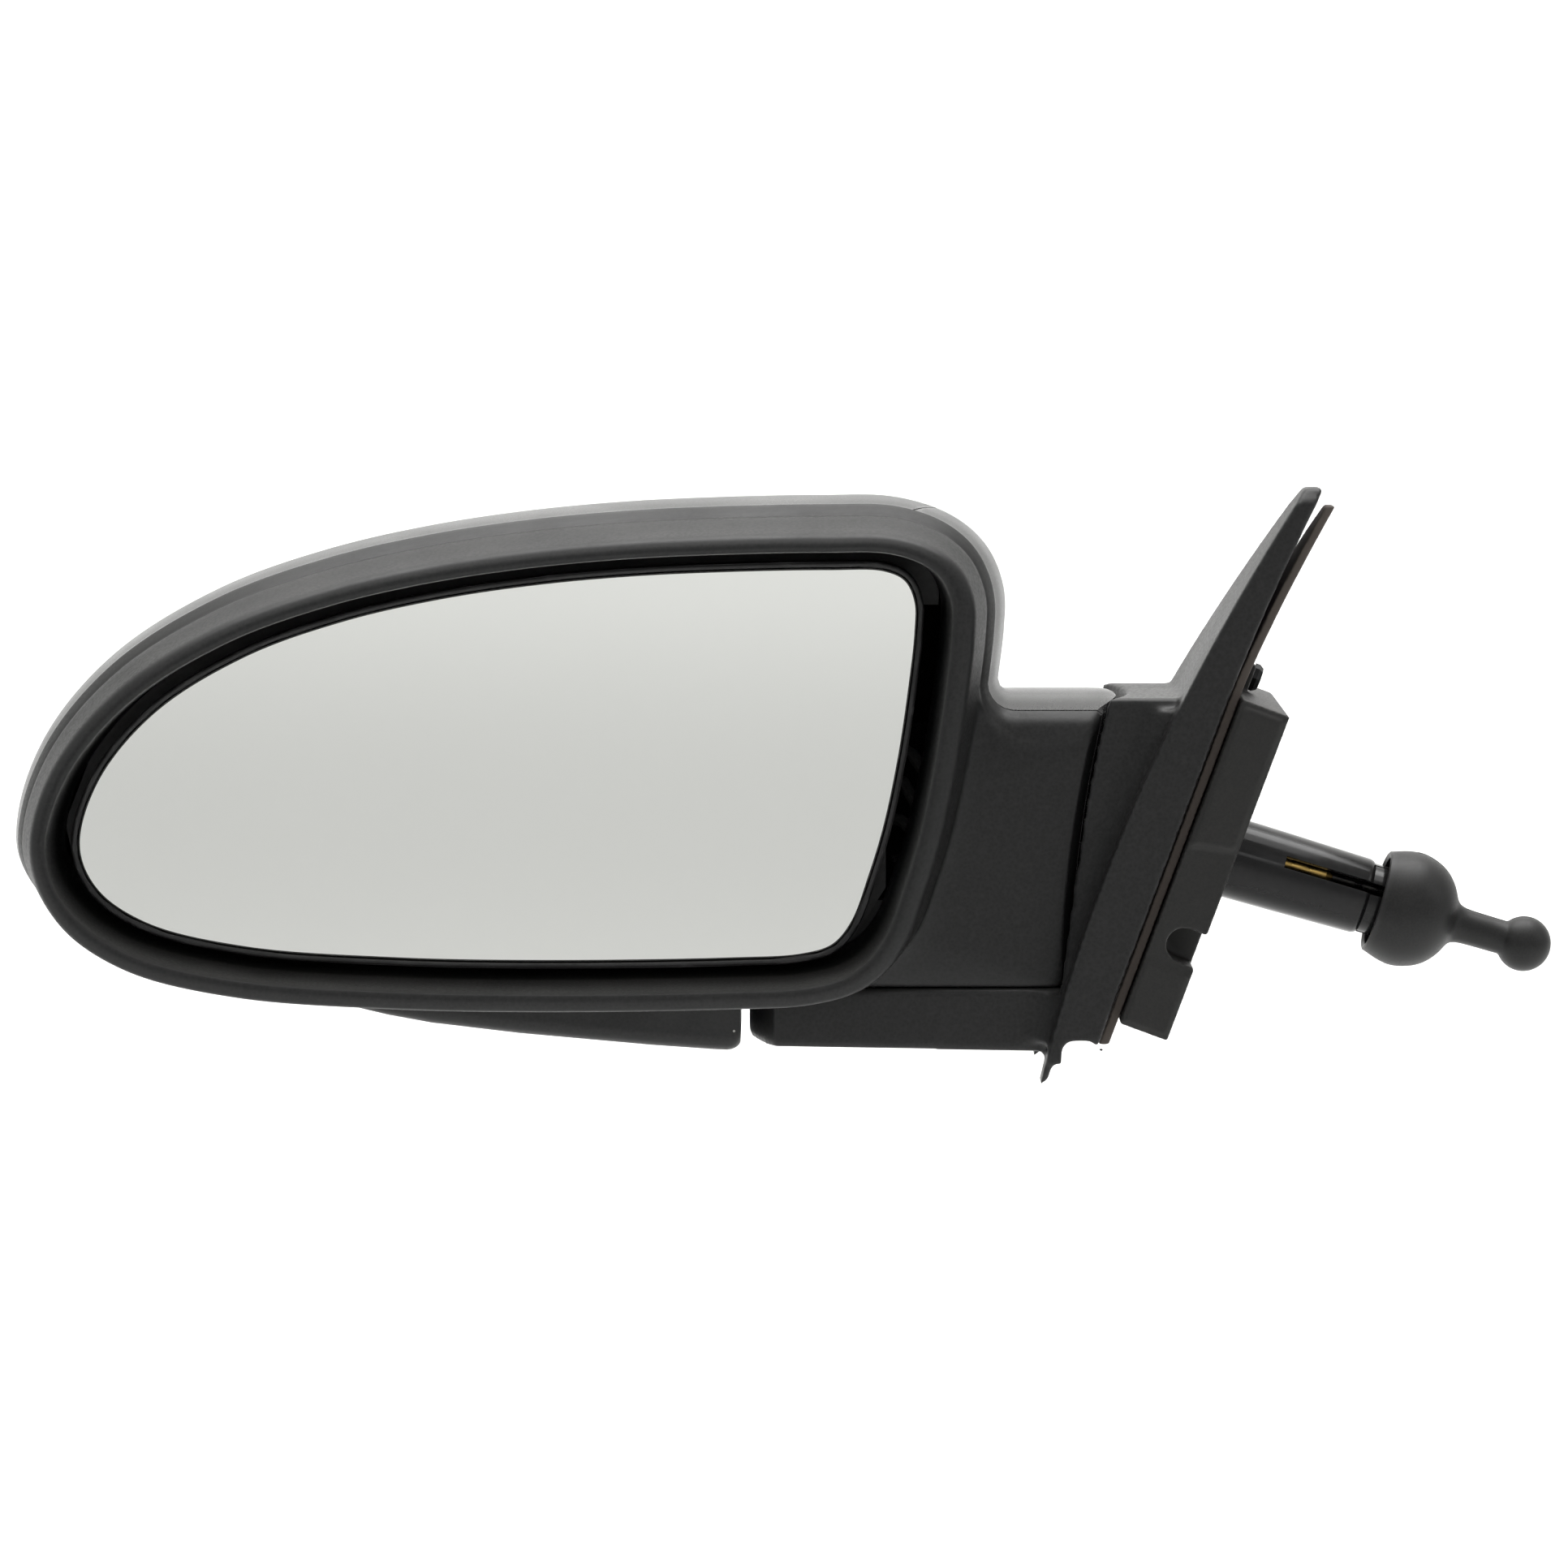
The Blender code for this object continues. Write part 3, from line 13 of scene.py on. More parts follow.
import bmesh
import bpy
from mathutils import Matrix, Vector


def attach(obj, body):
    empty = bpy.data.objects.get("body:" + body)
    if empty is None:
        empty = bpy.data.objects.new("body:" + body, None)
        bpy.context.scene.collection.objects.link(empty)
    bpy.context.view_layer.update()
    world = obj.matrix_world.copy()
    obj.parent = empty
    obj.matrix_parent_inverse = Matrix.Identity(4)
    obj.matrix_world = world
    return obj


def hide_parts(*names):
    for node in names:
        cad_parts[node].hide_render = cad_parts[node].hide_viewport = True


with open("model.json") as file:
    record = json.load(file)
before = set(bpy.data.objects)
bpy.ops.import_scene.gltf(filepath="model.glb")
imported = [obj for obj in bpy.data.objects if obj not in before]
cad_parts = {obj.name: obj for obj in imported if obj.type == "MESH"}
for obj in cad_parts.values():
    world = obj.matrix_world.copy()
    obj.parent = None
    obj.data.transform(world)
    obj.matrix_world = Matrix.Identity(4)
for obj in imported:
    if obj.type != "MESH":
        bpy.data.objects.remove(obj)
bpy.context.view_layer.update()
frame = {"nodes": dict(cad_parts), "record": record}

LOG = logging.getLogger("door_mirror")
MM = 0.001
DUST_TONE = (0.32, 0.30, 0.27)
SPECK_TONE = (0.5, 0.49, 0.46)
UP = Vector((0.0, 0.0, 1.0))
FORWARD = Vector((0.0, 1.0, 0.0))
REARWARD = Vector((0.0, -1.0, 0.0))
Ring = list[Vector]
Colour = tuple[float, float, float]
Margins = tuple[float, float, float, float]
Outline = list[tuple[float, float]]
Face = Callable[[float], float]
Place = Callable[[float, float, float], Vector]
Socket = bpy.types.NodeSocket
SocketOrNumber = bpy.types.NodeSocket | float
SocketOrColour = bpy.types.NodeSocket | tuple[float, float, float]


# ------------------------------------------------------------------ small helpers

def mix(low: float, high: float, share: float) -> float:
    """Linear blend of two values or vectors."""
    return low + (high - low) * share


def mix_margins(first: Margins, second: Margins, share: float) -> Margins:
    """Linear blend of two sets of margins."""
    return tuple(mix(a, b, share) for a, b in zip(first, second))


def arc(centre: tuple[float, float], radius: float, start: float, stop: float,
        steps: int) -> list[tuple[float, float]]:
    """Points of a flat arc.

    Args:
        centre: The arc's centre.
        radius: Its radius.
        start: First angle, in degrees.
        stop: Last angle, in degrees.
        steps: Number of spans.

    Returns:
        steps + 1 points.
    """
    angles = [math.radians(mix(start, stop, i / steps)) for i in range(steps + 1)]
    return [(centre[0] + radius * math.cos(a), centre[1] + radius * math.sin(a))
            for a in angles]


def resample(track: list[Vector], count: int) -> list[Vector]:
    """Evenly spaced points along a track, both ends included.

    Args:
        track: Points of the track.
        count: How many points are wanted.

    Returns:
        The spaced points.
    """
    lengths = [0.0]
    for a, b in zip(track, track[1:]):
        lengths.append(lengths[-1] + (b - a).length)
    result, span = [], 0
    for i in range(count):
        target = lengths[-1] * i / (count - 1)
        while span < len(track) - 2 and lengths[span + 1] < target:
            span += 1
        width = lengths[span + 1] - lengths[span]
        share = (target - lengths[span]) / width if width > 1e-9 else 0.0
        result.append(track[span].lerp(track[span + 1], min(max(share, 0.0), 1.0)))
    return result


def soften(keys: list[tuple[float, ...]], softness: list[float], corner_steps: int = 6,
           run_steps: int = 3) -> list[tuple[float, ...]]:
    """Round the corners of a track in any number of dimensions.

    Args:
        keys: The track's corners.
        softness: For each corner, the share of its two runs that the rounding takes.
        corner_steps: Spans in each rounded corner.
        run_steps: Spans on each straight run between corners.

    Returns:
        The rounded track.
    """
    points: list[tuple[float, ...]] = []

    def between(a: tuple[float, ...], b: tuple[float, ...], share: float) -> tuple[float, ...]:
        """Point at a share of the way from one to the other."""
        return tuple(mix(p, q, share) for p, q in zip(a, b))

    def run(a: tuple[float, ...], b: tuple[float, ...]) -> None:
        """Add the points of a straight run."""
        points.extend(between(a, b, k / run_steps) for k in range(run_steps))

    start = keys[0]
    for before, corner, after, soft in zip(keys, keys[1:], keys[2:], softness[1:-1]):
        entry, leave = between(corner, before, soft), between(corner, after, soft)
        run(start, entry)
        for k in range(corner_steps):
            share = k / corner_steps
            points.append(between(between(entry, corner, share),
                                  between(corner, leave, share), share))
        start = leave
    run(start, keys[-1])
    points.append(keys[-1])
    return points


# ------------------------------------------------------------------ mesh drafts

class Join(Enum):
    """How one solid acts on another."""

    ADD = "UNION"
    CUT = "DIFFERENCE"


class Draft:
    """A mesh under construction, in millimetres."""

    def __init__(self, shape: bmesh.types.BMesh | None = None) -> None:
        """Start empty or from a bmesh."""
        self.shape = shape or bmesh.new()

    @classmethod
    def loft(cls, rings: list[Ring], wrap: bool = False) -> "Draft":
        """Skin rings of equal length.

        Args:
            rings: The rings, in order.
            wrap: Join the last ring to the first.

        Returns:
            A closed draft.
        """
        shape = bmesh.new()
        rows = [[shape.verts.new(p) for p in ring] for ring in rings]
        pairs = list(zip(rows, rows[1:]))
        if wrap:
            pairs.append((rows[-1], rows[0]))
        count = len(rows[0])
        for low, high in pairs:
            for i in range(count):
                j = (i + 1) % count
                shape.faces.new((low[i], low[j], high[j], high[i]))
        if not wrap:
            for row in (rows[0], list(reversed(rows[-1]))):
                shape.faces.new(row)
        bmesh.ops.recalc_face_normals(shape, faces=shape.faces)
        return cls(shape)

    @classmethod
    def turned(cls, profile: list[tuple[float, float]], centre: Vector, axis: Vector,
               sides: int = 64) -> "Draft":
        """Solid of revolution from a closed profile.

        Args:
            profile: Points (radius, height along the axis); radius 0 makes a pole.
            centre: Where height is 0.
            axis: The axis.
            sides: Number of facets.

        Returns:
            A closed draft.
        """
        axis = axis.normalized()
        helper = FORWARD if abs(axis.y) < 0.9 else Vector((1.0, 0.0, 0.0))
        across = axis.cross(helper).normalized()
        other = axis.cross(across)
        shape = bmesh.new()
        rows = []
        for radius, height in profile:
            base = centre + axis * height
            if radius < 1e-6:
                rows.append([shape.verts.new(base)])
                continue
            rows.append([shape.verts.new(base + (across * math.cos(math.tau * i / sides)
                                                 + other * math.sin(math.tau * i / sides))
                                         * radius) for i in range(sides)])
        for low, high in zip(rows, rows[1:] + rows[:1]):
            for i in range(sides):
                j = (i + 1) % sides
                corners = [low[i % len(low)], low[j % len(low)],
                           high[j % len(high)], high[i % len(high)]]
                unique = list(dict.fromkeys(corners))
                if len(unique) > 2:
                    shape.faces.new(unique)
        bmesh.ops.recalc_face_normals(shape, faces=shape.faces)
        return cls(shape)

    @classmethod
    def extruded(cls, outline: Outline, place: Place, low: float, high: float) -> "Draft":
        """Straight extrusion of a flat outline.

        Args:
            outline: Corners of the outline.
            place: Function that turns (a, b, height) into a point.
            low: Lower height.
            high: Upper height.

        Returns:
            A closed draft.
        """
        return cls.loft([[place(a, b, c) for a, b in outline] for c in (low, high)])

    @classmethod
    def from_node(cls, node: str) -> "Draft":
        """Copy of a frame node's own solid.

        Args:
            node: The node's name.

        Returns:
            A draft of its own.
        """
        shape = bmesh.new()
        shape.from_mesh(frame["nodes"][node].data)
        bmesh.ops.scale(shape, vec=(1000.0,) * 3, verts=shape.verts)
        bmesh.ops.remove_doubles(shape, verts=shape.verts, dist=0.0005)
        bmesh.ops.recalc_face_normals(shape, faces=shape.faces)
        return cls(shape)

    def with_shape(self, other: "Draft", how: Join) -> "Draft":
        """Union with, or cut by, another draft; both are used up.

        Args:
            other: The second draft.
            how: Whether it is added or cut away.

        Returns:
            The result.
        """
        holder, tool = self._holder(), other._holder()
        modifier = holder.modifiers.new("join", "BOOLEAN")
        modifier.object, modifier.operation, modifier.solver = tool, how.value, "MANIFOLD"
        return self._read_back(holder, tool)

    def cut(self, *others: "Draft") -> "Draft":
        """This draft less each of the others."""
        draft = self
        for other in others:
            draft = draft.with_shape(other, Join.CUT)
        return draft

    def add(self, *others: "Draft") -> "Draft":
        """This draft joined with each of the others."""
        draft = self
        for other in others:
            draft = draft.with_shape(other, Join.ADD)
        return draft

    def remeshed(self, voxel: float, smoothing: int) -> "Draft":
        """Even mesh of this solid, with its edges eased.

        Args:
            voxel: Cell size, in millimetres.
            smoothing: Rounds of smoothing afterwards.

        Returns:
            The new draft.
        """
        holder = self._holder()
        grid = holder.modifiers.new("grid", "REMESH")
        grid.mode, grid.voxel_size, grid.adaptivity = "VOXEL", voxel, 0.0
        ease = holder.modifiers.new("ease", "SMOOTH")
        ease.factor, ease.iterations = 0.5, smoothing
        return self._read_back(holder)

    def sliced(self, point: Vector, normal: Vector) -> "Draft":
        """The half of this draft behind a plane, closed again.

        Args:
            point: Any point of the plane.
            normal: Direction of the side that is removed.

        Returns:
            This draft.
        """
        geometry = self.shape.verts[:] + self.shape.edges[:] + self.shape.faces[:]
        bmesh.ops.bisect_plane(self.shape, geom=geometry, plane_co=point, plane_no=normal,
                               clear_outer=True, dist=1e-5)
        rim = [edge for edge in self.shape.edges if edge.is_boundary]
        bmesh.ops.triangle_fill(self.shape, use_beauty=True, edges=rim)
        bmesh.ops.recalc_face_normals(self.shape, faces=self.shape.faces)
        return self

    def _holder(self) -> bpy.types.Object:
        """A working object that holds this shape."""
        mesh = bpy.data.meshes.new("work")
        self.shape.to_mesh(mesh)
        self.shape.free()
        holder = bpy.data.objects.new("work", mesh)
        bpy.context.scene.collection.objects.link(holder)
        return holder

    @staticmethod
    def _read_back(holder: bpy.types.Object, *tools: bpy.types.Object) -> "Draft":
        """Evaluated shape of a working object, which is then removed.

        Args:
            holder: The object with the modifiers.
            *tools: Other working objects to remove.

        Returns:
            The evaluated shape.
        """
        graph = bpy.context.evaluated_depsgraph_get()
        result = bpy.data.meshes.new_from_object(holder.evaluated_get(graph))
        shape = bmesh.new()
        shape.from_mesh(result)
        bpy.data.meshes.remove(result)
        for used in (holder, *tools):
            mesh = used.data
            bpy.data.objects.remove(used, do_unlink=True)
            bpy.data.meshes.remove(mesh)
        return Draft(shape)

    def finished(self, name: str, rides: str, finish: "Finish", slot: str,
                 stands_for: tuple[str, ...] = (), sharp: float = 40.0) -> bpy.types.Object:
        """Make the object that stays in the scene.

        Args:
            name: Its name.
            rides: The body that carries it.
            finish: Its finish.
            slot: The record's material slot.
            stands_for: Frame nodes that it replaces.
            sharp: Angle above which an edge is drawn sharp, in degrees.

        Returns:
            The object.
        """
        bmesh.ops.scale(self.shape, vec=(MM,) * 3, verts=self.shape.verts)
        mesh = bpy.data.meshes.new(name)
        self.shape.to_mesh(mesh)
        self.shape.free()
        mesh.shade_smooth()
        mesh.set_sharp_from_angle(angle=math.radians(sharp))
        mesh.materials.append(finish.material())
        piece = bpy.data.objects.new(name, mesh)
        bpy.context.scene.collection.objects.link(piece)
        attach(piece, rides)
        if stands_for:
            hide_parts(*stands_for)
        LOG.info("%s: %d faces, rides on %s", name, len(mesh.polygons), rides)
        return piece


# ------------------------------------------------------------------ finishes

class NodeTree:
    """Short way to add and link nodes of one tree."""

    def __init__(self, tree: bpy.types.NodeTree) -> None:
        """Wrap a tree."""
        self.tree = tree

    def node(self, kind: str, inputs: dict | None = None, **settings) -> bpy.types.Node:
        """Add a node.

        Args:
            kind: Its type name.
            inputs: Socket values or links, by socket name or index.
            **settings: Properties of the node.

        Returns:
            The node.
        """
        node = self.tree.nodes.new(kind)
        for key, value in settings.items():
            setattr(node, key, value)
        for key, value in (inputs or {}).items():
            if isinstance(value, bpy.types.NodeSocket):
                self.tree.links.new(value, node.inputs[key])
            else:
                node.inputs[key].default_value = value
        return node

    def maths(self, operation: str, first: SocketOrNumber, second: SocketOrNumber = 0.0,
              clamp: bool = False) -> Socket:
        """Output of a math node."""
        return self.node("ShaderNodeMath", {0: first, 1: second}, operation=operation,
                         use_clamp=clamp).outputs[0]

    def blend(self, share: SocketOrNumber, first: SocketOrColour,
              second: SocketOrColour) -> Socket:
        """Colour output of a mix node.

        Args:
            share: Share of the second colour.
            first: First colour or link.
            second: Second colour or link.

        Returns:
            The mixed colour.
        """
        node = self.node("ShaderNodeMix", {0: share}, data_type="RGBA")
        for index, value in ((6, first), (7, second)):
            if isinstance(value, bpy.types.NodeSocket):
                self.tree.links.new(value, node.inputs[index])
            else:
                node.inputs[index].default_value = (*value, 1.0)
        return node.outputs[2]

    def spread(self, value: SocketOrNumber, low: float, high: float, to_low: float,
               to_high: float) -> Socket:
        """Output of a clamped map range node."""
        return self.node("ShaderNodeMapRange", {0: value, 1: low, 2: high, 3: to_low,
                                                4: to_high}).outputs[0]


def effect(name: str, inputs: dict[str, float], outputs: list[str],
           fill: Callable[..., list[Socket]]) -> bpy.types.NodeTree:
    """Build a shader node group once.

    Args:
        name: The group's name.
        inputs: Named float inputs with their first values.
        outputs: Named float outputs.
        fill: Function (nodes, inputs) that returns one socket for each output.

    Returns:
        The group.
    """
    found = bpy.data.node_groups.get(name)
    if found:
        return found
    tree = bpy.data.node_groups.new(name, "ShaderNodeTree")
    for key, value in inputs.items():
        socket = tree.interface.new_socket(name=key, in_out="INPUT",
                                           socket_type="NodeSocketFloat")
        socket.default_value = value
    for key in outputs:
        tree.interface.new_socket(name=key, in_out="OUTPUT", socket_type="NodeSocketFloat")
    entry, leave = tree.nodes.new("NodeGroupInput"), tree.nodes.new("NodeGroupOutput")
    made = fill(NodeTree(tree), entry.outputs)
    for key, socket in zip(outputs, made):
        tree.links.new(socket, leave.inputs[key])
    return tree


def fill_grain(nodes: NodeTree, given: bpy.types.NodeOutputs) -> list[Socket]:
    """Moulded grain: small rounded pits with finer roughness between them.

    Args:
        nodes: The group's nodes.
        given: The group's inputs.

    Returns:
        Height and mask.
    """
    place = nodes.node("ShaderNodeTexCoord").outputs["Object"]
    pits = nodes.node("ShaderNodeTexVoronoi", {"Vector": place, "Scale": given["Cells"]},
                      feature="SMOOTH_F1").outputs["Distance"]
    fine = nodes.node("ShaderNodeTexNoise", {"Vector": place, "Scale": given["Fine"],
                                             "Detail": 4.0, "Roughness": 0.6}).outputs[0]
    height = nodes.maths("ADD", nodes.maths("MULTIPLY", pits, 0.7),
                         nodes.maths("MULTIPLY", fine, 0.6))
    mask = nodes.spread(height, 0.35, 0.85, 0.0, 1.0)
    return [height, mask]


def fill_handling(nodes: NodeTree, given: bpy.types.NodeOutputs) -> list[Socket]:
    """Handling marks: broad smudges and thin scratches.

    Args:
        nodes: The group's nodes.
        given: The group's inputs.

    Returns:
        Smudge and scratch masks.
    """
    place = nodes.node("ShaderNodeTexCoord").outputs["Object"]
    smudge = nodes.node("ShaderNodeTexNoise", {"Vector": place, "Scale": given["Smudge"],
                                               "Detail": 3.0, "Distortion": 0.8}).outputs[0]
    thin = nodes.node("ShaderNodeMapping", {"Vector": place, "Rotation": (0.4, 0.7, 0.3),
                                            "Scale": (1.0, 0.06, 1.0)}).outputs[0]
    lines = nodes.node("ShaderNodeTexNoise", {"Vector": thin, "Scale": given["Scratch"],
                                              "Detail": 2.0}).outputs[0]
    return [nodes.spread(smudge, 0.42, 0.68, 0.0, 1.0),
            nodes.spread(lines, 0.66, 0.72, 0.0, 1.0)]


def fill_dust(nodes: NodeTree, given: bpy.types.NodeOutputs) -> list[Socket]:
    """Dust: a thin veil on what faces up and scattered specks.

    Args:
        nodes: The group's nodes.
        given: The group's inputs.

    Returns:
        Veil and speck masks.
    """
    geometry = nodes.node("ShaderNodeNewGeometry")
    place = nodes.node("ShaderNodeTexCoord").outputs["Object"]
    height = nodes.node("ShaderNodeSeparateXYZ", {0: geometry.outputs["Normal"]}).outputs[2]
    lying = nodes.spread(height, 0.2, 1.0, 0.0, 1.0)
    cloud = nodes.node("ShaderNodeTexNoise", {"Vector": place, "Scale": 60.0,
                                              "Detail": 5.0}).outputs[0]
    veil = nodes.maths("MULTIPLY", nodes.maths("MULTIPLY", lying, cloud), given["Veil"], True)
    cells = nodes.node("ShaderNodeTexVoronoi", {"Vector": place, "Scale": given["Specks"]})
    near = nodes.maths("LESS_THAN", cells.outputs["Distance"], given["Speck Size"])
    rare = nodes.node("ShaderNodeSeparateColor", {0: cells.outputs["Color"]}).outputs[0]
    speck = nodes.maths("MULTIPLY", near, nodes.maths("GREATER_THAN", rare, 0.93))
    return [veil, speck]


def fill_edge_light(nodes: NodeTree, given: bpy.types.NodeOutputs) -> list[Socket]:
    """Convex edges, in patches, for a painted highlight, and a mask of hollows.

    Args:
        nodes: The group's nodes.
        given: The group's inputs.

    Returns:
        Lit-edge and hollow masks.
    """
    geometry = nodes.node("ShaderNodeNewGeometry")
    place = nodes.node("ShaderNodeTexCoord").outputs["Object"]
    patch = nodes.node("ShaderNodeTexNoise", {"Vector": place, "Scale": given["Patches"],
                                              "Detail": 4.0}).outputs[0]
    bent = geometry.outputs["Pointiness"]
    # Convex edges from pointiness: where the painted edge highlight goes.
    lit_edge = nodes.spread(bent, 0.515, 0.58, 0.0, 1.0)
    hollow = nodes.spread(bent, 0.485, 0.42, 0.0, 1.0)
    return [nodes.maths("MULTIPLY", lit_edge, nodes.spread(patch, 0.35, 0.6, 0.3, 1.0)), hollow]


class Effects:
    """The shared effects, built on first use."""

    @staticmethod
    def grain() -> bpy.types.NodeTree:
        """Moulded grain, with outputs Height and Mask."""
        return effect("moulded_grain", {"Cells": 1400.0, "Fine": 2600.0}, ["Height", "Mask"],
                      fill_grain)

    @staticmethod
    def handling() -> bpy.types.NodeTree:
        """Handling marks, with outputs Smudge and Scratch."""
        return effect("handling_marks", {"Smudge": 28.0, "Scratch": 900.0},
                      ["Smudge", "Scratch"], fill_handling)

    @staticmethod
    def dust() -> bpy.types.NodeTree:
        """Settled dust, with outputs Veil and Speck."""
        return effect("settled_dust", {"Veil": 0.5, "Specks": 90.0, "Speck Size": 0.03},
                      ["Veil", "Speck"], fill_dust)

    @staticmethod
    def edges_and_hollows() -> bpy.types.NodeTree:
        """Convex edges for a painted highlight, and hollows, with outputs Lit Edge and Hollow.
        """
        return effect("edge_light_and_hollows", {"Patches": 120.0}, ["Rubbed", "Hollow"], fill_edge_light)


class Finish:
    """A named finish whose material is made on first use."""

    name: str

    def material(self) -> bpy.types.Material:
        """The finish's material."""
        found = bpy.data.materials.get(self.name)
        if found:
            return found
        made = bpy.data.materials.new(self.name)
        made.use_nodes = True
        nodes = NodeTree(made.node_tree)
        self.dress(nodes, made.node_tree.nodes["Principled BSDF"])
        return made

    def dress(self, nodes: NodeTree, shader: bpy.types.Node) -> None:
        """Fill in the shader; each kind of finish has its own way."""
        raise NotImplementedError

    @staticmethod
    def group(nodes: NodeTree, tree: bpy.types.NodeTree, **values: float) -> bpy.types.Node:
        """Place a shared effect with this finish's own values.

        Args:
            nodes: The material's nodes.
            tree: The shared effect.
            **values: Input values, with _ for a space.

        Returns:
            The placed node.
        """
        node = nodes.tree.nodes.new("ShaderNodeGroup")
        node.node_tree = tree
        for key, value in values.items():
            node.inputs[key.replace("_", " ")].default_value = value
        return node


@dataclass(frozen=True)
class Plastic(Finish):
    """Moulded plastic, from open grain to gloss."""

    name: str
    dark: Colour
    light: Colour
    roughness: tuple[float, float] = (0.42, 0.6)
    cells: float = 1400.0
    bump: float = 0.25
    depth: float = 0.00006
    # edge and the share after it: tone and strength of the painted highlight that lightens
    # convex edges.
    edge: Colour = (0.09, 0.09, 0.092)
    highlight_share: float = 0.35
    dust_share: float = 0.12
    specular: float = 0.5

    def dress(self, nodes: NodeTree, shader: bpy.types.Node) -> None:
        """Grain, tone, a painted highlight on convex edges, dust and handling marks.

        Args:
            nodes: The material's nodes.
            shader: Its Principled shader.
        """
        grain = self.group(nodes, Effects.grain(), Cells=self.cells, Fine=self.cells * 1.9)
        marks = self.group(nodes, Effects.handling())
        dust = self.group(nodes, Effects.dust())
        edges_and_hollows = self.group(nodes, Effects.edges_and_hollows())
        colour = nodes.blend(grain.outputs["Mask"], self.dark, self.light)
        # Painted highlight: convex edges lightened towards the edge tone.
        colour = nodes.blend(nodes.maths("MULTIPLY", edges_and_hollows.outputs["Rubbed"], self.highlight_share),
                             colour, self.edge)
        colour = nodes.blend(nodes.maths("MULTIPLY", dust.outputs["Veil"], self.dust_share),
                             colour, DUST_TONE)
        colour = nodes.blend(nodes.maths("MULTIPLY", dust.outputs["Speck"], 0.6), colour,
                             SPECK_TONE)
        rough = nodes.spread(grain.outputs["Mask"], 0.0, 1.0, *self.roughness)
        rough = nodes.maths("ADD", rough, nodes.maths("MULTIPLY", marks.outputs["Smudge"],
                                                      0.06))
        rough = nodes.maths("SUBTRACT", rough, nodes.maths("MULTIPLY",
                                                           edges_and_hollows.outputs["Rubbed"], 0.1), True)
        height = nodes.maths("SUBTRACT", grain.outputs["Height"],
                             nodes.maths("MULTIPLY", marks.outputs["Scratch"], 0.15))
        bump = nodes.node("ShaderNodeBump", {"Strength": self.bump, "Distance": self.depth,
                                             "Height": height})
        nodes.tree.links.new(colour, shader.inputs["Base Color"])
        nodes.tree.links.new(rough, shader.inputs["Roughness"])
        nodes.tree.links.new(bump.outputs[0], shader.inputs["Normal"])
        shader.inputs["Specular IOR Level"].default_value = self.specular


@dataclass(frozen=True)
class Metal(Finish):
    """Turned or plated metal."""

    name: str
    clean: Colour
    stained: Colour
    roughness: tuple[float, float] = (0.22, 0.42)

    def dress(self, nodes: NodeTree, shader: bpy.types.Node) -> None:
        """Fine turning marks and stains in hollows.

        Args:
            nodes: The material's nodes.
            shader: Its Principled shader.
        """
        place = nodes.node("ShaderNodeTexCoord").outputs["Object"]
        rings = nodes.node("ShaderNodeTexNoise", {"Vector": place, "Scale": 3200.0,
                                                  "Detail": 2.0}).outputs[0]
        marks = self.group(nodes, Effects.handling(), Smudge=160.0)
        edges_and_hollows = self.group(nodes, Effects.edges_and_hollows(), Patches=300.0)
        colour = nodes.blend(marks.outputs["Smudge"], self.clean, self.stained)
        colour = nodes.blend(nodes.maths("MULTIPLY", edges_and_hollows.outputs["Hollow"], 0.6), colour,
                             tuple(c * 0.25 for c in self.stained))
        rough = nodes.spread(marks.outputs["Smudge"], 0.0, 1.0, *self.roughness)
        bump = nodes.node("ShaderNodeBump", {"Strength": 0.2, "Distance": 0.00003,
                                             "Height": rings})
        nodes.tree.links.new(colour, shader.inputs["Base Color"])
        nodes.tree.links.new(rough, shader.inputs["Roughness"])
        nodes.tree.links.new(bump.outputs[0], shader.inputs["Normal"])
        shader.inputs["Metallic"].default_value = 1.0


@dataclass(frozen=True)
class Silvered(Finish):
    """Silvered glass: a clear reflection with the faintest film and spots."""

    name: str
    silver: Colour
    film: Colour

    def dress(self, nodes: NodeTree, shader: bpy.types.Node) -> None:
        """A nearly even silver with a thin film where it was wiped.

        Args:
            nodes: The material's nodes.
            shader: Its Principled shader.
        """
        marks = self.group(nodes, Effects.handling(), Smudge=11.0, Scratch=500.0)
        dust = self.group(nodes, Effects.dust(), Specks=70.0, Speck_Size=0.02)
        colour = nodes.blend(nodes.maths("MULTIPLY", marks.outputs["Smudge"], 0.35),
                             self.silver, self.film)
        colour = nodes.blend(nodes.maths("MULTIPLY", dust.outputs["Speck"], 0.25), colour,
                             (0.35, 0.34, 0.31))
        rough = nodes.spread(marks.outputs["Smudge"], 0.0, 1.0, 0.02, 0.045)
        rough = nodes.maths("ADD", rough, nodes.maths("MULTIPLY", marks.outputs["Scratch"],
                                                      0.02))
        nodes.tree.links.new(colour, shader.inputs["Base Color"])
        nodes.tree.links.new(rough, shader.inputs["Roughness"])
        shader.inputs["Metallic"].default_value = 1.0


@dataclass(frozen=True)
class Foam(Finish):
    """Closed-cell foam."""

    name: str
    dark: Colour
    light: Colour

    def dress(self, nodes: NodeTree, shader: bpy.types.Node) -> None:
        """Open cells on the cut edge and a soft tone.

        Args:
            nodes: The material's nodes.
            shader: Its Principled shader.
        """
        grain = self.group(nodes, Effects.grain(), Cells=1700.0, Fine=4200.0)
        edges_and_hollows = self.group(nodes, Effects.edges_and_hollows(), Patches=90.0)
        colour = nodes.blend(grain.outputs["Mask"], self.dark, self.light)
        colour = nodes.blend(nodes.maths("MULTIPLY", edges_and_hollows.outputs["Hollow"], 0.5), colour,
                             tuple(c * 0.4 for c in self.dark))
        rough = nodes.spread(grain.outputs["Mask"], 0.0, 1.0, 0.8, 0.97)
        bump = nodes.node("ShaderNodeBump", {"Strength": 0.6, "Distance": 0.0002,
                                             "Height": grain.outputs["Height"]})
        nodes.tree.links.new(colour, shader.inputs["Base Color"])
        nodes.tree.links.new(rough, shader.inputs["Roughness"])
        nodes.tree.links.new(bump.outputs[0], shader.inputs["Normal"])
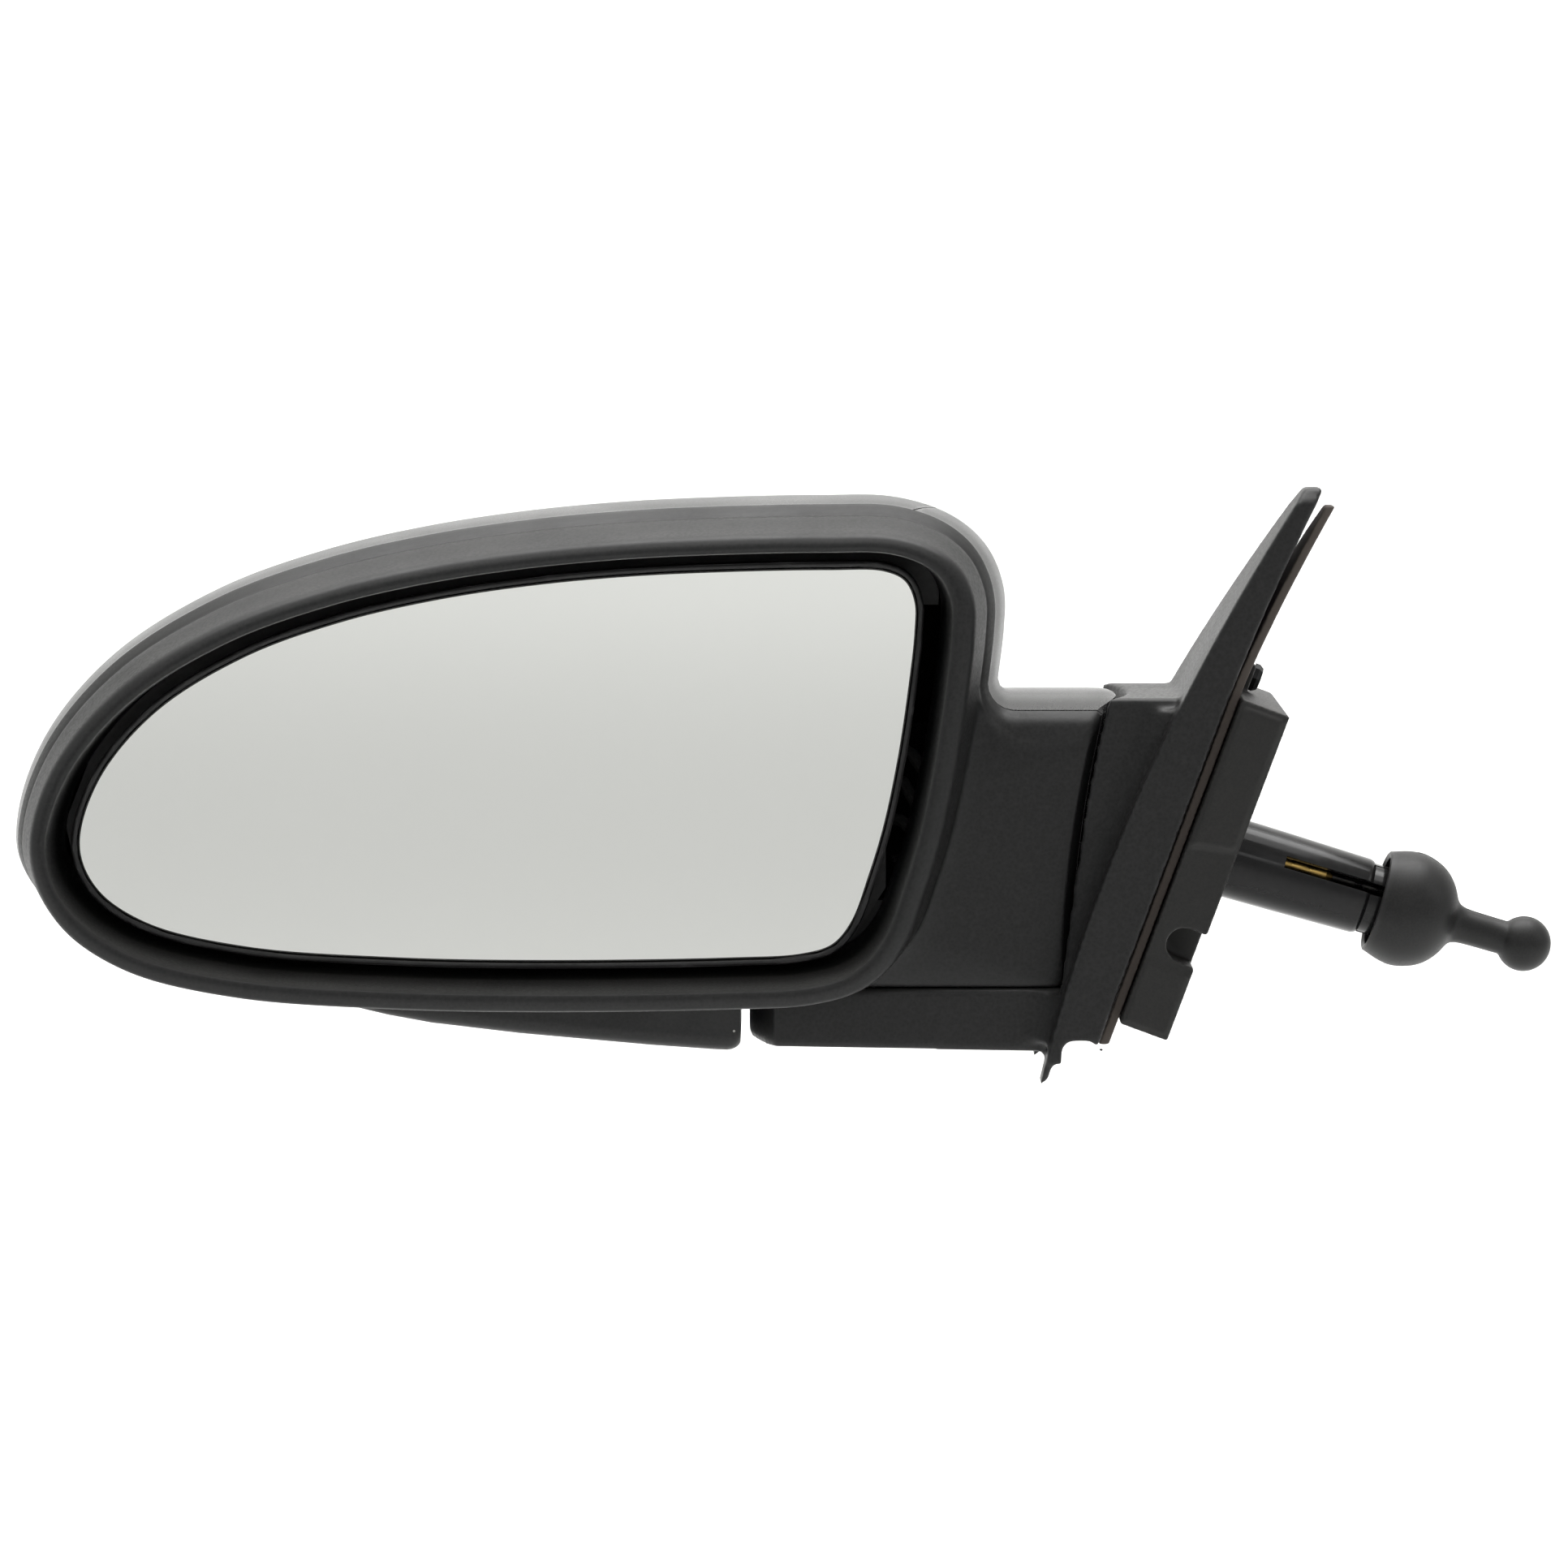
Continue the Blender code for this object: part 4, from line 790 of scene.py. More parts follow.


# Each plastic's edge tone is a painted highlight laid on its convex edges.
GRAINED = Plastic("grained_black", (0.006, 0.0061, 0.0063), (0.013, 0.0131, 0.0134),
                  (0.36, 0.5), edge=(0.05, 0.05, 0.051), specular=0.3)
SATIN = Plastic("satin_black", (0.010, 0.0101, 0.0105), (0.0135, 0.0136, 0.014),
                (0.25, 0.33), cells=2600.0, bump=0.08, depth=0.00003, highlight_share=0.2,
                specular=0.45)
WELL = Plastic("well_black", (0.004, 0.004, 0.0042), (0.008, 0.008, 0.0082), (0.4, 0.55),
               specular=0.3)
BLOCK = Plastic("block_black", (0.007, 0.0069, 0.0066), (0.014, 0.0138, 0.0132),
                (0.42, 0.58), cells=1900.0, bump=0.2, edge=(0.045, 0.044, 0.042), specular=0.35)
FRAME_PLASTIC = Plastic("frame_black", (0.03, 0.03, 0.031), (0.045, 0.045, 0.046))
TUBE_GLOSS = Plastic("tube_gloss", (0.007, 0.007, 0.0074), (0.0085, 0.0085, 0.009),
                     (0.10, 0.17), cells=700.0, bump=0.05, depth=0.00003, highlight_share=0.15,
                     specular=0.25)
LEVER_MATT = Plastic("lever_matt", (0.007, 0.007, 0.0071), (0.013, 0.013, 0.0131),
                     (0.40, 0.52), cells=2300.0, bump=0.16, depth=0.00004, specular=0.3)
SHEATH = Plastic("cable_sheath", (0.02, 0.02, 0.02), (0.032, 0.032, 0.032), (0.45, 0.6))
NYLON = Plastic("natural_nylon", (0.52, 0.51, 0.46), (0.62, 0.61, 0.56), (0.38, 0.5),
                cells=900.0, bump=0.1, edge=(0.72, 0.71, 0.67), highlight_share=0.3)
BLACKED = Metal("blacked_steel", (0.035, 0.035, 0.036), (0.02, 0.02, 0.02), (0.4, 0.55))
STEEL = Metal("plated_steel", (0.56, 0.56, 0.55), (0.42, 0.41, 0.38))
BRASS = Metal("turned_brass", (0.58, 0.40, 0.13), (0.36, 0.23, 0.07), (0.26, 0.44))
SILVER = Silvered("silvered_glass", (0.90, 0.91, 0.885), (0.875, 0.885, 0.86))
PAD_FOAM = Foam("pad_foam", (0.02, 0.02, 0.02), (0.04, 0.04, 0.04))
GASKET_FOAM = Foam("gasket_foam", (0.030, 0.026, 0.021), (0.060, 0.051, 0.041))


# ------------------------------------------------------------------ the head's shape

@dataclass
class HeadShape:
    """Rings of the head, all read from the glass outline at shared stations."""

    glass: list[tuple[float, float]] = field(default_factory=lambda: [
        (-71.5, 44.0), (-70.3, 55.0), (-70.3, 62.3), (-72.6, 67.2), (-77.5, 69.5),
        (-90.0, 69.8), (-112.0, 69.4), (-134.0, 68.4), (-156.0, 66.4), (-178.0, 63.1),
        (-200.0, 58.0), (-222.0, 50.0), (-242.5, 37.2), (-255.4, 21.5), (-259.6, 6.5),
        (-255.6, -3.2), (-244.5, -10.9), (-222.5, -16.3), (-189.4, -18.8), (-156.0, -19.5),
        (-112.0, -18.9), (-96.0, -18.0), (-89.0, -15.8), (-84.6, -10.6), (-80.5, 0.4),
        (-77.2, 11.5), (-73.9, 27.5)])
    centre: Vector = field(default_factory=lambda: Vector((-125.0, 24.0)))
    hinge: Vector = field(default_factory=lambda: Vector((-68.0, -2.0, 0.0)))
    arm_bottom: float = -25.5
    root_z: float = 44.0
    main_count: int = 230
    arm_count: int = 90

    def __post_init__(self) -> None:
        """Trace the outline and choose the stations."""
        self.points = self._trace()
        count = len(self.points)
        self.normals = []
        for i in range(count):
            ahead = self.points[(i + 3) % count] - self.points[i - 3]
            self.normals.append(Vector((ahead.y, -ahead.x)).normalized())
        root = next(i for i, p in enumerate(self.points) if p.y > self.root_z - 0.01)
        low = next(i for i, p in enumerate(self.points) if p.y < 0 and p.x > -104.0)
        self.main = self._stations(root, low, self.main_count)
        self.arm = self._stations(low, count + root, self.arm_count + 2)[1:-1]

    def _trace(self, spans: int = 40) -> list[Vector]:
        """Dense points of a centripetal curve through the glass points.

        Args:
            spans: Points between two given ones.

        Returns:
            Points round the outline.
        """
        track = [Vector(p) for p in self.glass]
        count, dense = len(track), []
        for i in range(count):
            a, b, c, d = (track[(i + k - 1) % count] for k in range(4))
            t1 = math.sqrt((b - a).length)
            t2 = t1 + math.sqrt((c - b).length)
            t3 = t2 + math.sqrt((d - c).length)
            for k in range(spans):
                t = mix(t1, t2, k / spans)
                ab, bc, cd = a.lerp(b, t / t1), b.lerp(c, (t - t1) / (t2 - t1)), \
                    c.lerp(d, (t - t2) / (t3 - t2))
                dense.append(ab.lerp(bc, t / t2).lerp(bc.lerp(cd, (t - t1) / (t3 - t1)),
                                                      (t - t1) / (t2 - t1)))
        return dense

    def _stations(self, start: int, stop: int, count: int) -> list[int]:
        """Indices between two dense points, closer together where the outline bends.

        Args:
            start: First index.
            stop: Last index, which may run past the start.
            count: How many are wanted.

        Returns:
            The chosen indices.
        """
        size = len(self.points)
        weights = [0.0]
        for i in range(start, stop):
            bend = self.normals[i % size].angle(self.normals[(i + 1) % size])
            step = (self.points[(i + 1) % size] - self.points[i % size]).length
            weights.append(weights[-1] + step + bend * 30.0)
        chosen, spot = [], 0
        for k in range(count):
            target = weights[-1] * k / (count - 1)
            while weights[spot] < target - 1e-9:
                spot += 1
            chosen.append((start + spot) % size)
        return chosen

    def offset(self, index: int, margins: Margins) -> Vector:
        """Outline point moved out by directional margins.

        Args:
            index: Which dense point.
            margins: Left, right, top and bottom margin.

        Returns:
            The moved point.
        """
        left, right, top, bottom = margins
        point, normal = self.points[index], self.normals[index]
        return Vector((point.x + normal.x * (right if normal.x > 0 else left),
                       point.y + normal.y * (top if normal.y > 0 else bottom)))

    def arm_radius(self, z: float) -> float:
        """Radius of the arm's end about the hinge."""
        return 37.6 + 0.085 * z + 0.0018 * z * z

    def arm_reach(self, y: float, z: float, side: float, inset: float) -> float:
        """X that the arm's end reaches at a depth and height.

        Args:
            y: Depth.
            z: Height.
            side: X of the head's own side.
            inset: Distance inside the surface.

        Returns:
            The x reached.
        """
        radius, depth = self.arm_radius(z) - inset, y - self.hinge.y
        if abs(depth) < radius:
            reach = self.hinge.x + math.sqrt(radius * radius - depth * depth)
        else:
            reach = self.hinge.x - 2.0 * (abs(depth) - radius)
        beyond = reach - side
        return side + 0.5 * (beyond + math.sqrt(beyond * beyond + 9.0))

    def ring(self, y: float, margins: Margins, arm: float = 0.0, arm_top: float = 37.0,
             inset: float = 0.0, scale: float = 1.0, y_right: float | None = None) -> Ring:
        """One ring round the head.

        Args:
            y: Its depth.
            margins: How far it stands outside the glass: left, right, top, bottom.
            arm: Share of the arm at the inboard side.
            arm_top: Height of the arm's top.
            inset: How far it lies inside the outer surface.
            scale: Shrink towards the centre.
            y_right: Depth on the inboard side, where that differs.

        Returns:
            The ring's points.
        """
        slim = tuple(value - inset for value in margins)
        top_z = mix(self.centre.y, arm_top, scale) - inset
        low_z = mix(self.centre.y, self.arm_bottom, scale) + min(inset, 1.6)
        main = [self.centre + (self.offset(i, slim) - self.centre) * scale for i in self.main]
        plain = [self.centre + (self.offset(i, slim) - self.centre) * scale for i in self.arm]
        if arm:
            track = self._arm_track(y, main, low_z, top_z, inset)
            spaced = resample(track, self.arm_count + 2)[1:-1]
            plain = [a.lerp(b, arm) for a, b in zip(plain, spaced)]
        flat = main + plain
        result = []
        for index, point in zip(self.main + self.arm, flat):
            share = max(self.normals[index].x, 0.0) ** 0.5
            depth = y if y_right is None else mix(y, y_right, share)
            result.append(Vector((point.x, depth, point.y)))
        return result

    def _arm_track(self, y: float, main: list[Vector], low_z: float, top_z: float,
                   inset: float) -> list[Vector]:
        """Outline of the arm from the main ring's last point round to its first.

        Args:
            y: Depth of the ring.
            main: Points of the main ring.
            low_z: Height of the underside.
            top_z: Height of the top.
            inset: Distance inside the surface.

        Returns:
            Points of the track, both ends included.
        """
        side, start = main[0].x, main[-1]
        low_reach = self.arm_reach(y, low_z, side, inset)
        track = [start, Vector((start.x + 3.0, low_z)), Vector((low_reach - 1.0, low_z))]
        for k in range(25):
            z = mix(low_z + 0.9, top_z - 1.8, k / 24)
            track.append(Vector((self.arm_reach(y, z, side, inset), z)))
        reach = self.arm_reach(y, top_z, side, inset)
        radius = max(main[0].y - top_z, 0.8)
        fillet = min(radius, 0.6 * (reach - side))
        track += [Vector((reach - 0.3, top_z - 0.6)), Vector((reach - 1.2, top_z))]
        for k in range(9):
            turn = math.radians(90.0 - 10.0 * k)
            track.append(Vector((side + fillet * (1 - math.cos(turn)),
                                 main[0].y - radius * math.sin(turn))))
        return track + [main[0]]

    def glass_ring(self, y: float, margin: float) -> Ring:
        """The glass outline at a depth, moved out evenly."""
        return [Vector((p.x, y, p.y)) for p in
                (self.offset(i, (margin,) * 4) for i in self.main + self.arm)]


@dataclass
class RearHousing:
    """Grained shell: rim, well round the glass, shoulder and the arm's rear face."""

    shape: HeadShape
    well_end: Margins = (4.6, 5.6, 3.4, 2.0)
    rim_inner: Margins = (6.0, 7.4, 4.1, 5.4)
    rim_crest: Margins = (7.3, 9.2, 5.7, 7.3)
    rim_outer: Margins = (9.7, 12.6, 8.2, 10.3)
    shoulder: Margins = (11.0, 14.0, 9.6, 9.4)
    valley: Margins = (12.6, 15.6, 11.6, 6.1)
    parting: Margins = (14.2, 17.7, 14.0, 6.1)
    well_back: float = -4.4
    well_back_right: float = -8.6
    parting_y: float = -18.0

    def outer_keys(self) -> list[tuple[float, ...]]:
        """Corner rings: depth, margins, arm share, arm top, inboard depth."""
        edge = mix_margins(self.valley, self.parting, 0.4)
        return [(self.well_back, *self.well_end, 0.0, 30.0, self.well_back_right),
                (-35.6, *self.rim_inner, 0.0, 30.0, -35.6),
                (-36.8, *self.rim_crest, 0.0, 30.0, -36.8),
                (-35.0, *self.rim_outer, 0.0, 30.0, -35.0),
                (-30.0, *self.shoulder, 0.0, 30.0, -30.0),
                (-24.2, *self.valley, 0.0, 30.0, -24.2),
                (-22.2, *self.valley, 1.0, 30.0, -22.2),
                (-20.8, *edge, 1.0, 34.6, -20.8),
                (self.parting_y, *self.parting, 1.0, 37.0, self.parting_y)]

    def mesh(self) -> Draft:
        """The shell with its inner wall."""
        keys = soften(self.outer_keys(), [0, 0.3, 0.42, 0.35, 0.4, 0.3, 0.3, 0.45, 0], 5, 2)
        rings = [self.shape.ring(k[0], k[1:5], k[5], k[6], y_right=k[7]) for k in keys]
        wall = (2.2, 2.2, 2.0, 1.2)
        bend = tuple(a + b for a, b in zip(mix_margins(self.well_end, self.rim_inner, 0.78),
                                           (2.3, 2.3, 2.0, 0.9)))
        low = mix_margins(self.valley, self.parting, 0.6)
        rings.append(self.shape.ring(self.parting_y, self._thin(self.parting, wall), 1.0, 37.0,
                                     2.0))
        rings.append(self.shape.ring(-19.6, self._thin(low, wall), 1.0, 32.0, 2.0))
        rings.append(self.shape.ring(-21.8, tuple(a - b for a, b in zip(self.valley, wall))))
        rings.append(self.shape.ring(-28.6, bend))
        rings.append(self.shape.ring(
            self.well_back, tuple(a + b for a, b in zip(self.well_end, (1.8, 1.8, 1.5, 0.9))),
            y_right=self.well_back_right))
        return Draft.loft(rings, wrap=True).cut(foot_hole(self.shape))

    @staticmethod
    def _thin(margins: Margins, wall: Margins) -> Margins:
        """Margins of a wall's inner side, before its inset is taken off."""
        return tuple(a - b + 2.0 for a, b in zip(margins, wall))

    def build(self) -> None:
        """Make the visible shell."""
        self.mesh().finished("rear_shell", "head", GRAINED, "textured_plastic",
                             ("rear_housing",), sharp=55.0)


def foot_hole(shape: HeadShape) -> Draft:
    """Round hole under the arm, for the hinge pivot."""
    low, high = shape.arm_bottom - 4.0, shape.arm_bottom + 5.0
    return Draft.turned([(0.0, low), (10.2, low), (10.2, high), (0.0, high)], shape.hinge, UP)


@dataclass
class FrontCovers:
    """Smooth cap outboard and smooth shell inboard, parted at a slanting seam."""

    shape: HeadShape
    parting: Margins = (14.2, 17.7, 14.0, 6.1)
    widest: Margins = (16.0, 20.4, 15.2, 6.1)
    inner_parting: Margins = (14.2, 17.7, 14.0, 7.0)
    inner_widest: Margins = (16.0, 20.4, 15.2, 7.0)
    lead: float = -17.7
    nose_start: float = -4.0
    nose_depth: float = 50.0
    power: float = 2.2
    wall: float = 2.2
    seam: tuple[float, float, float] = (-70.9, 0.4, 0.2)

    def _nose(self, share: float, wall: float, margins: Margins) -> Ring:
        """Ring between the widest place (0) and the nose (1).

        Args:
            share: Place between widest and nose.
            wall: Distance inside the outer surface.
            margins: Margins at the widest place.

        Returns:
            The ring.
        """
        turn = share * math.pi / 2
        depth = self.nose_start + (self.nose_depth - wall) * math.sin(turn) ** (2 / self.power)
        scale = math.cos(turn) ** (2 / self.power)
        return self.shape.ring(depth, margins, 1.0, 40.2, wall, scale)

    def mesh(self) -> Draft:
        """The whole front shell, before it is split."""
        keys = [(self.lead, *self.parting, 37.2),
                (-12.0, *mix_margins(self.parting, self.widest, 0.62), 39.2),
                (self.nose_start, *self.widest, 40.2)]
        rings = [self.shape.ring(k[0], k[1:5], 1.0, k[5])
                 for k in soften(keys, [0, 0.45, 0], 4, 2)]
        shares = [0.07, 0.14, 0.21, 0.28, 0.35, 0.42, 0.49, 0.56, 0.63, 0.7, 0.77, 0.84, 0.9,
                  0.95, 0.985]
        rings += [self._nose(share, 0.0, self.widest) for share in shares]
        outer = Draft.loft(rings)
        hollow = [self.shape.ring(self.lead - 1.5, self.inner_parting, 1.0, 37.2, self.wall),
                  self.shape.ring(self.lead, self.inner_parting, 1.0, 37.2, self.wall)]
        hollow += [self._nose(share, self.wall, self.inner_widest)
                   for share in (0.0, 0.2, 0.4, 0.6, 0.78, 0.9)]
        return outer.cut(Draft.loft(hollow), foot_hole(self.shape))

    def build(self) -> None:
        """Make the cap and the inboard shell."""
        x, slope, half = self.seam
        across = Vector((1.0, -slope, 0.0)).normalized()
        middle = Vector((x, self.lead, 0.0))
        cap = self.mesh().sliced(middle - across * half, across)
        cap.finished("cap", "head", SATIN, "cap_plastic", ("cap_cover",))
        inboard = self.mesh().sliced(middle + across * half, -across)
        inboard.finished("inboard_cover", "head", SATIN, "cap_plastic", ("inboard_shell",))


@dataclass
class LowerBulge:
    """Grained bulge under the rim, with a rounded inboard end."""

    depths: list[tuple[float, float]] = field(default_factory=lambda: [
        (-212.0, 2.6), (-190.0, 6.6), (-160.0, 10.2), (-130.0, 12.9), (-109.9, 14.3)])
    rear: float = -22.6

    def _depth(self, x: float) -> float:
        """Depth of the bulge at x, eased off at its inboard end.

        Args:
            x: Place along the bulge.

        Returns:
            Its depth there.
        """
        spans = zip(self.depths, self.depths[1:])
        low, high = next((a, b) for a, b in spans if x <= b[0] + 1e-6)
        depth = mix(low[1], high[1], (x - low[0]) / (high[0] - low[0]))
        near = max(0.0, 1.0 - (-109.9 - x) / 4.0)
        return depth - 2.6 * (1.0 - math.sqrt(max(0.0, 1.0 - near * near)))

    def build(self) -> None:
        """Make the bulge."""
        rings = []
        for x in [-212.0 + 2.0 * k for k in range(49)] + [-113.0, -112.0, -111.2, -110.6,
                                                          -110.2, -109.95]:
            depth = self._depth(x)
            top = -26.3 if x > -180.0 else mix(-26.3, -24.0, (-180.0 - x) / 32.0)
            front = mix(8.0, 20.0, (x + 212.0) / 102.0)
            lip = min(4.0, depth * 0.5)
            outline = [(front, top)]
            outline += arc((front - lip * 1.6, top - depth + lip), lip, 0.0, -90.0, 10)
            outline += arc((self.rear + lip, top - depth + lip), lip, -90.0, -180.0, 10)
            outline += [(self.rear, top)]
            rings.append([Vector((x, a, b)) for a, b in outline])
        Draft.loft(rings).finished("lower_bulge", "head", GRAINED, "textured_plastic",
                                   ("lower_shell",), sharp=50.0)


@dataclass
class Glass:
    """Silvered pane in its thin-lipped holder."""

    shape: HeadShape
    face: float = -24.0

    def build(self) -> None:
        """Make the pane and the holder."""
        ring = self.shape.glass_ring
        pane = Draft.loft([ring(self.face, -0.45), ring(self.face + 0.12, -0.15),
                           ring(self.face + 0.45, 0.0), ring(self.face + 2.0, 0.0)])
        pane.finished("pane", "glass", SILVER, "mirror_glass", ("mirror_glass",), sharp=8.0)
        lip = Draft.loft([ring(self.face + 3.4, 0.22), ring(self.face - 0.15, 0.22),
                          ring(self.face - 0.5, 0.35), ring(self.face - 0.72, 0.75),
                          ring(self.face - 0.66, 1.2), ring(self.face - 0.3, 1.5),
                          ring(self.face + 4.4, 1.45), ring(self.face + 4.8, 1.2)])
        body = Draft.from_node("glass_holder").add(lip)
        body.finished("holder", "glass", WELL, "frame_plastic", ("glass_holder",))


# ------------------------------------------------------------------ the base


def along_y(outline: Outline, low: float, high: float) -> Draft:
    """Extrusion along Y of an outline in (x, z)."""
    return Draft.extruded(outline, lambda a, b, c: Vector((a, c, b)), low, high)


def along_z(outline: Outline, low: float, high: float) -> Draft:
    """Extrusion along Z of an outline in (x, y)."""
    return Draft.extruded(outline, lambda a, b, c: Vector((a, b, c)), low, high)


@dataclass
class Base:
    """The base: grained skin with its shelf, wall and sail, gasket and mounting block."""

    shape: HeadShape
    tilt: float = math.radians(20.3)
    inner: float = -14.2
    skin: float = 2.4
    fold_gap: float = 2.2
    shelf_top: float = -25.8
    shelf_radius: float = 40.0
    shelf_span: tuple[float, float] = (-23.0, 18.0)
    gasket: float = 2.1
    block_thick: float = 11.5
    block_half: float = 39.2
    block_span: tuple[float, float] = (-30.0, 28.0)
    skin_cell: float = 0.75
    foam_cell: float = 0.45
    block_cell: float = 0.5
    screws: list[tuple[float, float]] = field(default_factory=lambda: [(38.0, -2.0),
                                                                       (2.0, 42.8)])

    def sail_outer(self, z: float) -> float:
        """X of the sail's outer face."""
        rise = z - 21.25
        return -19.4 + 0.4394 * rise + 0.00153 * rise * rise

    def sail_inner(self, z: float) -> float:
        """X of the sail's inner edge."""
        flat = (self.inner + math.sin(self.tilt) * z) / math.cos(self.tilt)
        return flat + 0.0013 * max(z - 35.0, 0.0) ** 2

    def gasket_middle(self, z: float) -> float:
        """X of the gasket's middle; its top stands off the skin."""
        depth = self.inner + 0.3 + self.gasket / 2
        flat = (depth + math.sin(self.tilt) * z) / math.cos(self.tilt)
        return flat + 5.2 * (max(z - 42.0, 0.0) / 42.0) ** 1.5

    def sail_outline(self, inset: float, bottom: float = -42.0) -> Outline:
        """Triangle of the sail in (y, z).

        Args:
            inset: How much smaller it is.
            bottom: Height of its lower edge.

        Returns:
            Corners in (y, z).
        """
        i = inset
        return [(-30.0 + i, bottom + i), (52.0 - i, bottom + i), (60.0 - i, -34.0 + i * 0.4),
                (60.0 - i, -8.0 - i * 0.4), (54.0 - i * 0.9, 2.0 - i * 0.7),
                (-14.0 - i * 0.9, 84.0 - i * 0.9), (-20.0 - i * 0.2, 88.0 - i * 1.3),
                (-27.0 + i * 0.7, 88.0 - i * 1.3), (-30.0 + i, 85.0 - i * 0.6)]

    @staticmethod
    def curved_plate(outline: Outline, near: Face, far: Face, step: float = 2.0) -> Draft:
        """Solid between two x(z) faces over an outline in (y, z).

        Args:
            outline: Corners of the outline.
            near: Function that gives the near face's x at a height.
            far: Function that gives the far face's x.
            step: Height of each strip.

        Returns:
            A closed draft.
        """
        shape = bmesh.new()
        shape.faces.new([shape.verts.new((0.0, y, z)) for y, z in outline])
        low, high = min(z for _, z in outline), max(z for _, z in outline)
        level = low + step
        while level < high - 0.2:
            bmesh.ops.bisect_plane(shape, geom=shape.verts[:] + shape.edges[:] + shape.faces[:],
                                   plane_co=(0.0, 0.0, level), plane_no=UP, dist=0.01)
            level += step
        result = bmesh.ops.extrude_face_region(shape, geom=shape.faces[:])
        moved = {item for item in result["geom"] if isinstance(item, bmesh.types.BMVert)}
        for vert in shape.verts:
            vert.co.x = far(vert.co.z) if vert in moved else near(vert.co.z)
        bmesh.ops.recalc_face_normals(shape, faces=shape.faces)
        return Draft(shape)

    def fold_sweep(self, extra: float, low: float) -> Draft:
        """What the base leaves free for the arm's end."""
        levels = [low] + [low + (45.0 - low) * k / 30 for k in range(1, 31)]
        profile = [(0.0, low)] + [(self.shape.arm_radius(z) + extra, z) for z in levels]
        return Draft.turned(profile + [(0.0, 45.0)], self.shape.hinge, UP, 240)

    def shelf_plan(self, inset: float, inboard: float) -> Outline:
        """Plan of the shelf, round about the hinge at its outboard end.

        Args:
            inset: How much smaller it is.
            inboard: X of its inboard edge.

        Returns:
            Corners in (x, y).
        """
        hinge, radius = self.shape.hinge, self.shelf_radius - inset
        rear, front = self.shelf_span[0] + inset, self.shelf_span[1] - inset
        start = 180.0 - math.degrees(math.asin((front - hinge.y) / radius))
        stop = 180.0 + math.degrees(math.asin((hinge.y - rear) / radius))
        return arc((hinge.x, hinge.y), radius, start, stop, 60) + [(inboard, rear),
                                                                   (inboard, front)]

    def valley(self) -> Draft:
        """Hollow flank between the wall and the sail's rounded rear rib."""
        rings = []
        for z in range(-38, 39, 2):
            edge = self.sail_outer(z)
            curve = [(edge - 9.0 + 9.6 * share, -23.0 - 5.6 * share ** 2.4)
                     for share in (k / 10 for k in range(11))]
            rings.append([Vector((x, y, float(z))) for x, y in
                          [(edge - 9.0, -21.5)] + curve + [(edge + 1.2, -28.4),
                                                           (edge + 1.2, -21.5)]])
        return Draft.loft(rings)

    def skin_mesh(self) -> Draft:
        """Outer skin with its rooms."""
        top = self.shelf_top
        sail = self.curved_plate(self.sail_outline(0.0), self.sail_outer, self.sail_inner)
        shelf = along_y([(-110.0, -38.9), (-26.0, -40.5), (-26.0, top), (-110.0, top)], -40.0,
                        40.0)
        plan = along_z(self.shelf_plan(0.0, -27.6), -60.0, 0.0)
        shelf = shelf.cut(along_z([(-300.0, -200.0), (200.0, -200.0), (200.0, 200.0),
                                   (-300.0, 200.0)], -59.0, 1.0).cut(plan))
        wall = along_y([(-50.0, top - 1.0), (-30.0, top - 1.0), (-24.0, -5.0), (-14.0, 20.0),
                        (-5.0, 40.2), (-50.0, 40.2)], *self.shelf_span)
        low = self.sail_outer(-47.0)
        lip = along_y([(self.sail_outer(-36.0), -36.0), (low, -47.0), (low + 1.8, -45.6),
                       (self.sail_outer(-36.0) + 2.2, -36.0)], -29.9, 50.0)
        swept = self.fold_sweep(self.fold_gap, top - 0.9)
        body = sail.add(wall, self.valley()).cut(swept).add(shelf, lip)
        pocket = self.curved_plate(self.sail_outline(self.skin, -60.0),
                                   lambda z: self.sail_outer(z) + self.skin,
                                   lambda z: self.sail_inner(z) + 12.0)
        pocket = pocket.cut(along_z([(-200.0, -100.0), (200.0, -100.0), (200.0, 100.0),
                                     (-200.0, 100.0)], -200.0, -39.6))
        rear, front = self.shelf_span
        room = along_y([(-50.0, top - 2.9), (-20.0, top - 2.9), (-8.0, 10.0), (0.0, 37.8),
                        (-50.0, 37.8)], rear + 2.6, front - 2.6)
        rooms = pocket.add(room).cut(self.fold_sweep(self.fold_gap + self.skin, top - 3.1))
        shelf_room = along_z(self.shelf_plan(self.skin, -24.5), -60.0, top - self.skin)
        pivot = Draft.turned([(0.0, -32.0), (9.8, -32.0), (9.8, -20.0), (0.0, -20.0)],
                             self.shape.hinge, UP)
        notch = along_y([(-37.4, -60.0), (-37.4, -39.2), (-36.6, -37.6), (-35.0, -36.8),
                         (-31.4, -36.8), (-29.8, -37.6), (-29.0, -39.2), (-29.0, -60.0)],
                        -31.0, -20.0)
        return body.cut(rooms, shelf_room, pivot, notch)

    def door_point(self, y: float, up: float, depth: float) -> Vector:
        """Point on the door plane's own axes: along the car, up the door, into the door."""
        normal = Vector((math.cos(self.tilt), 0.0, -math.sin(self.tilt)))
        rise = Vector((math.sin(self.tilt), 0.0, math.cos(self.tilt)))
        return normal * depth + rise * up + FORWARD * y

    def on_door(self, outline: Outline, low: float, high: float) -> Draft:
        """Extrusion into the door of an outline in (y, up)."""
        return Draft.extruded(outline, self.door_point, low, high)

    def on_side(self, outline: Outline, low: float, high: float) -> Draft:
        """Extrusion along Y of an outline in (into the door, up the door)."""
        return Draft.extruded(outline, lambda a, b, c: self.door_point(c, b, a), low, high)

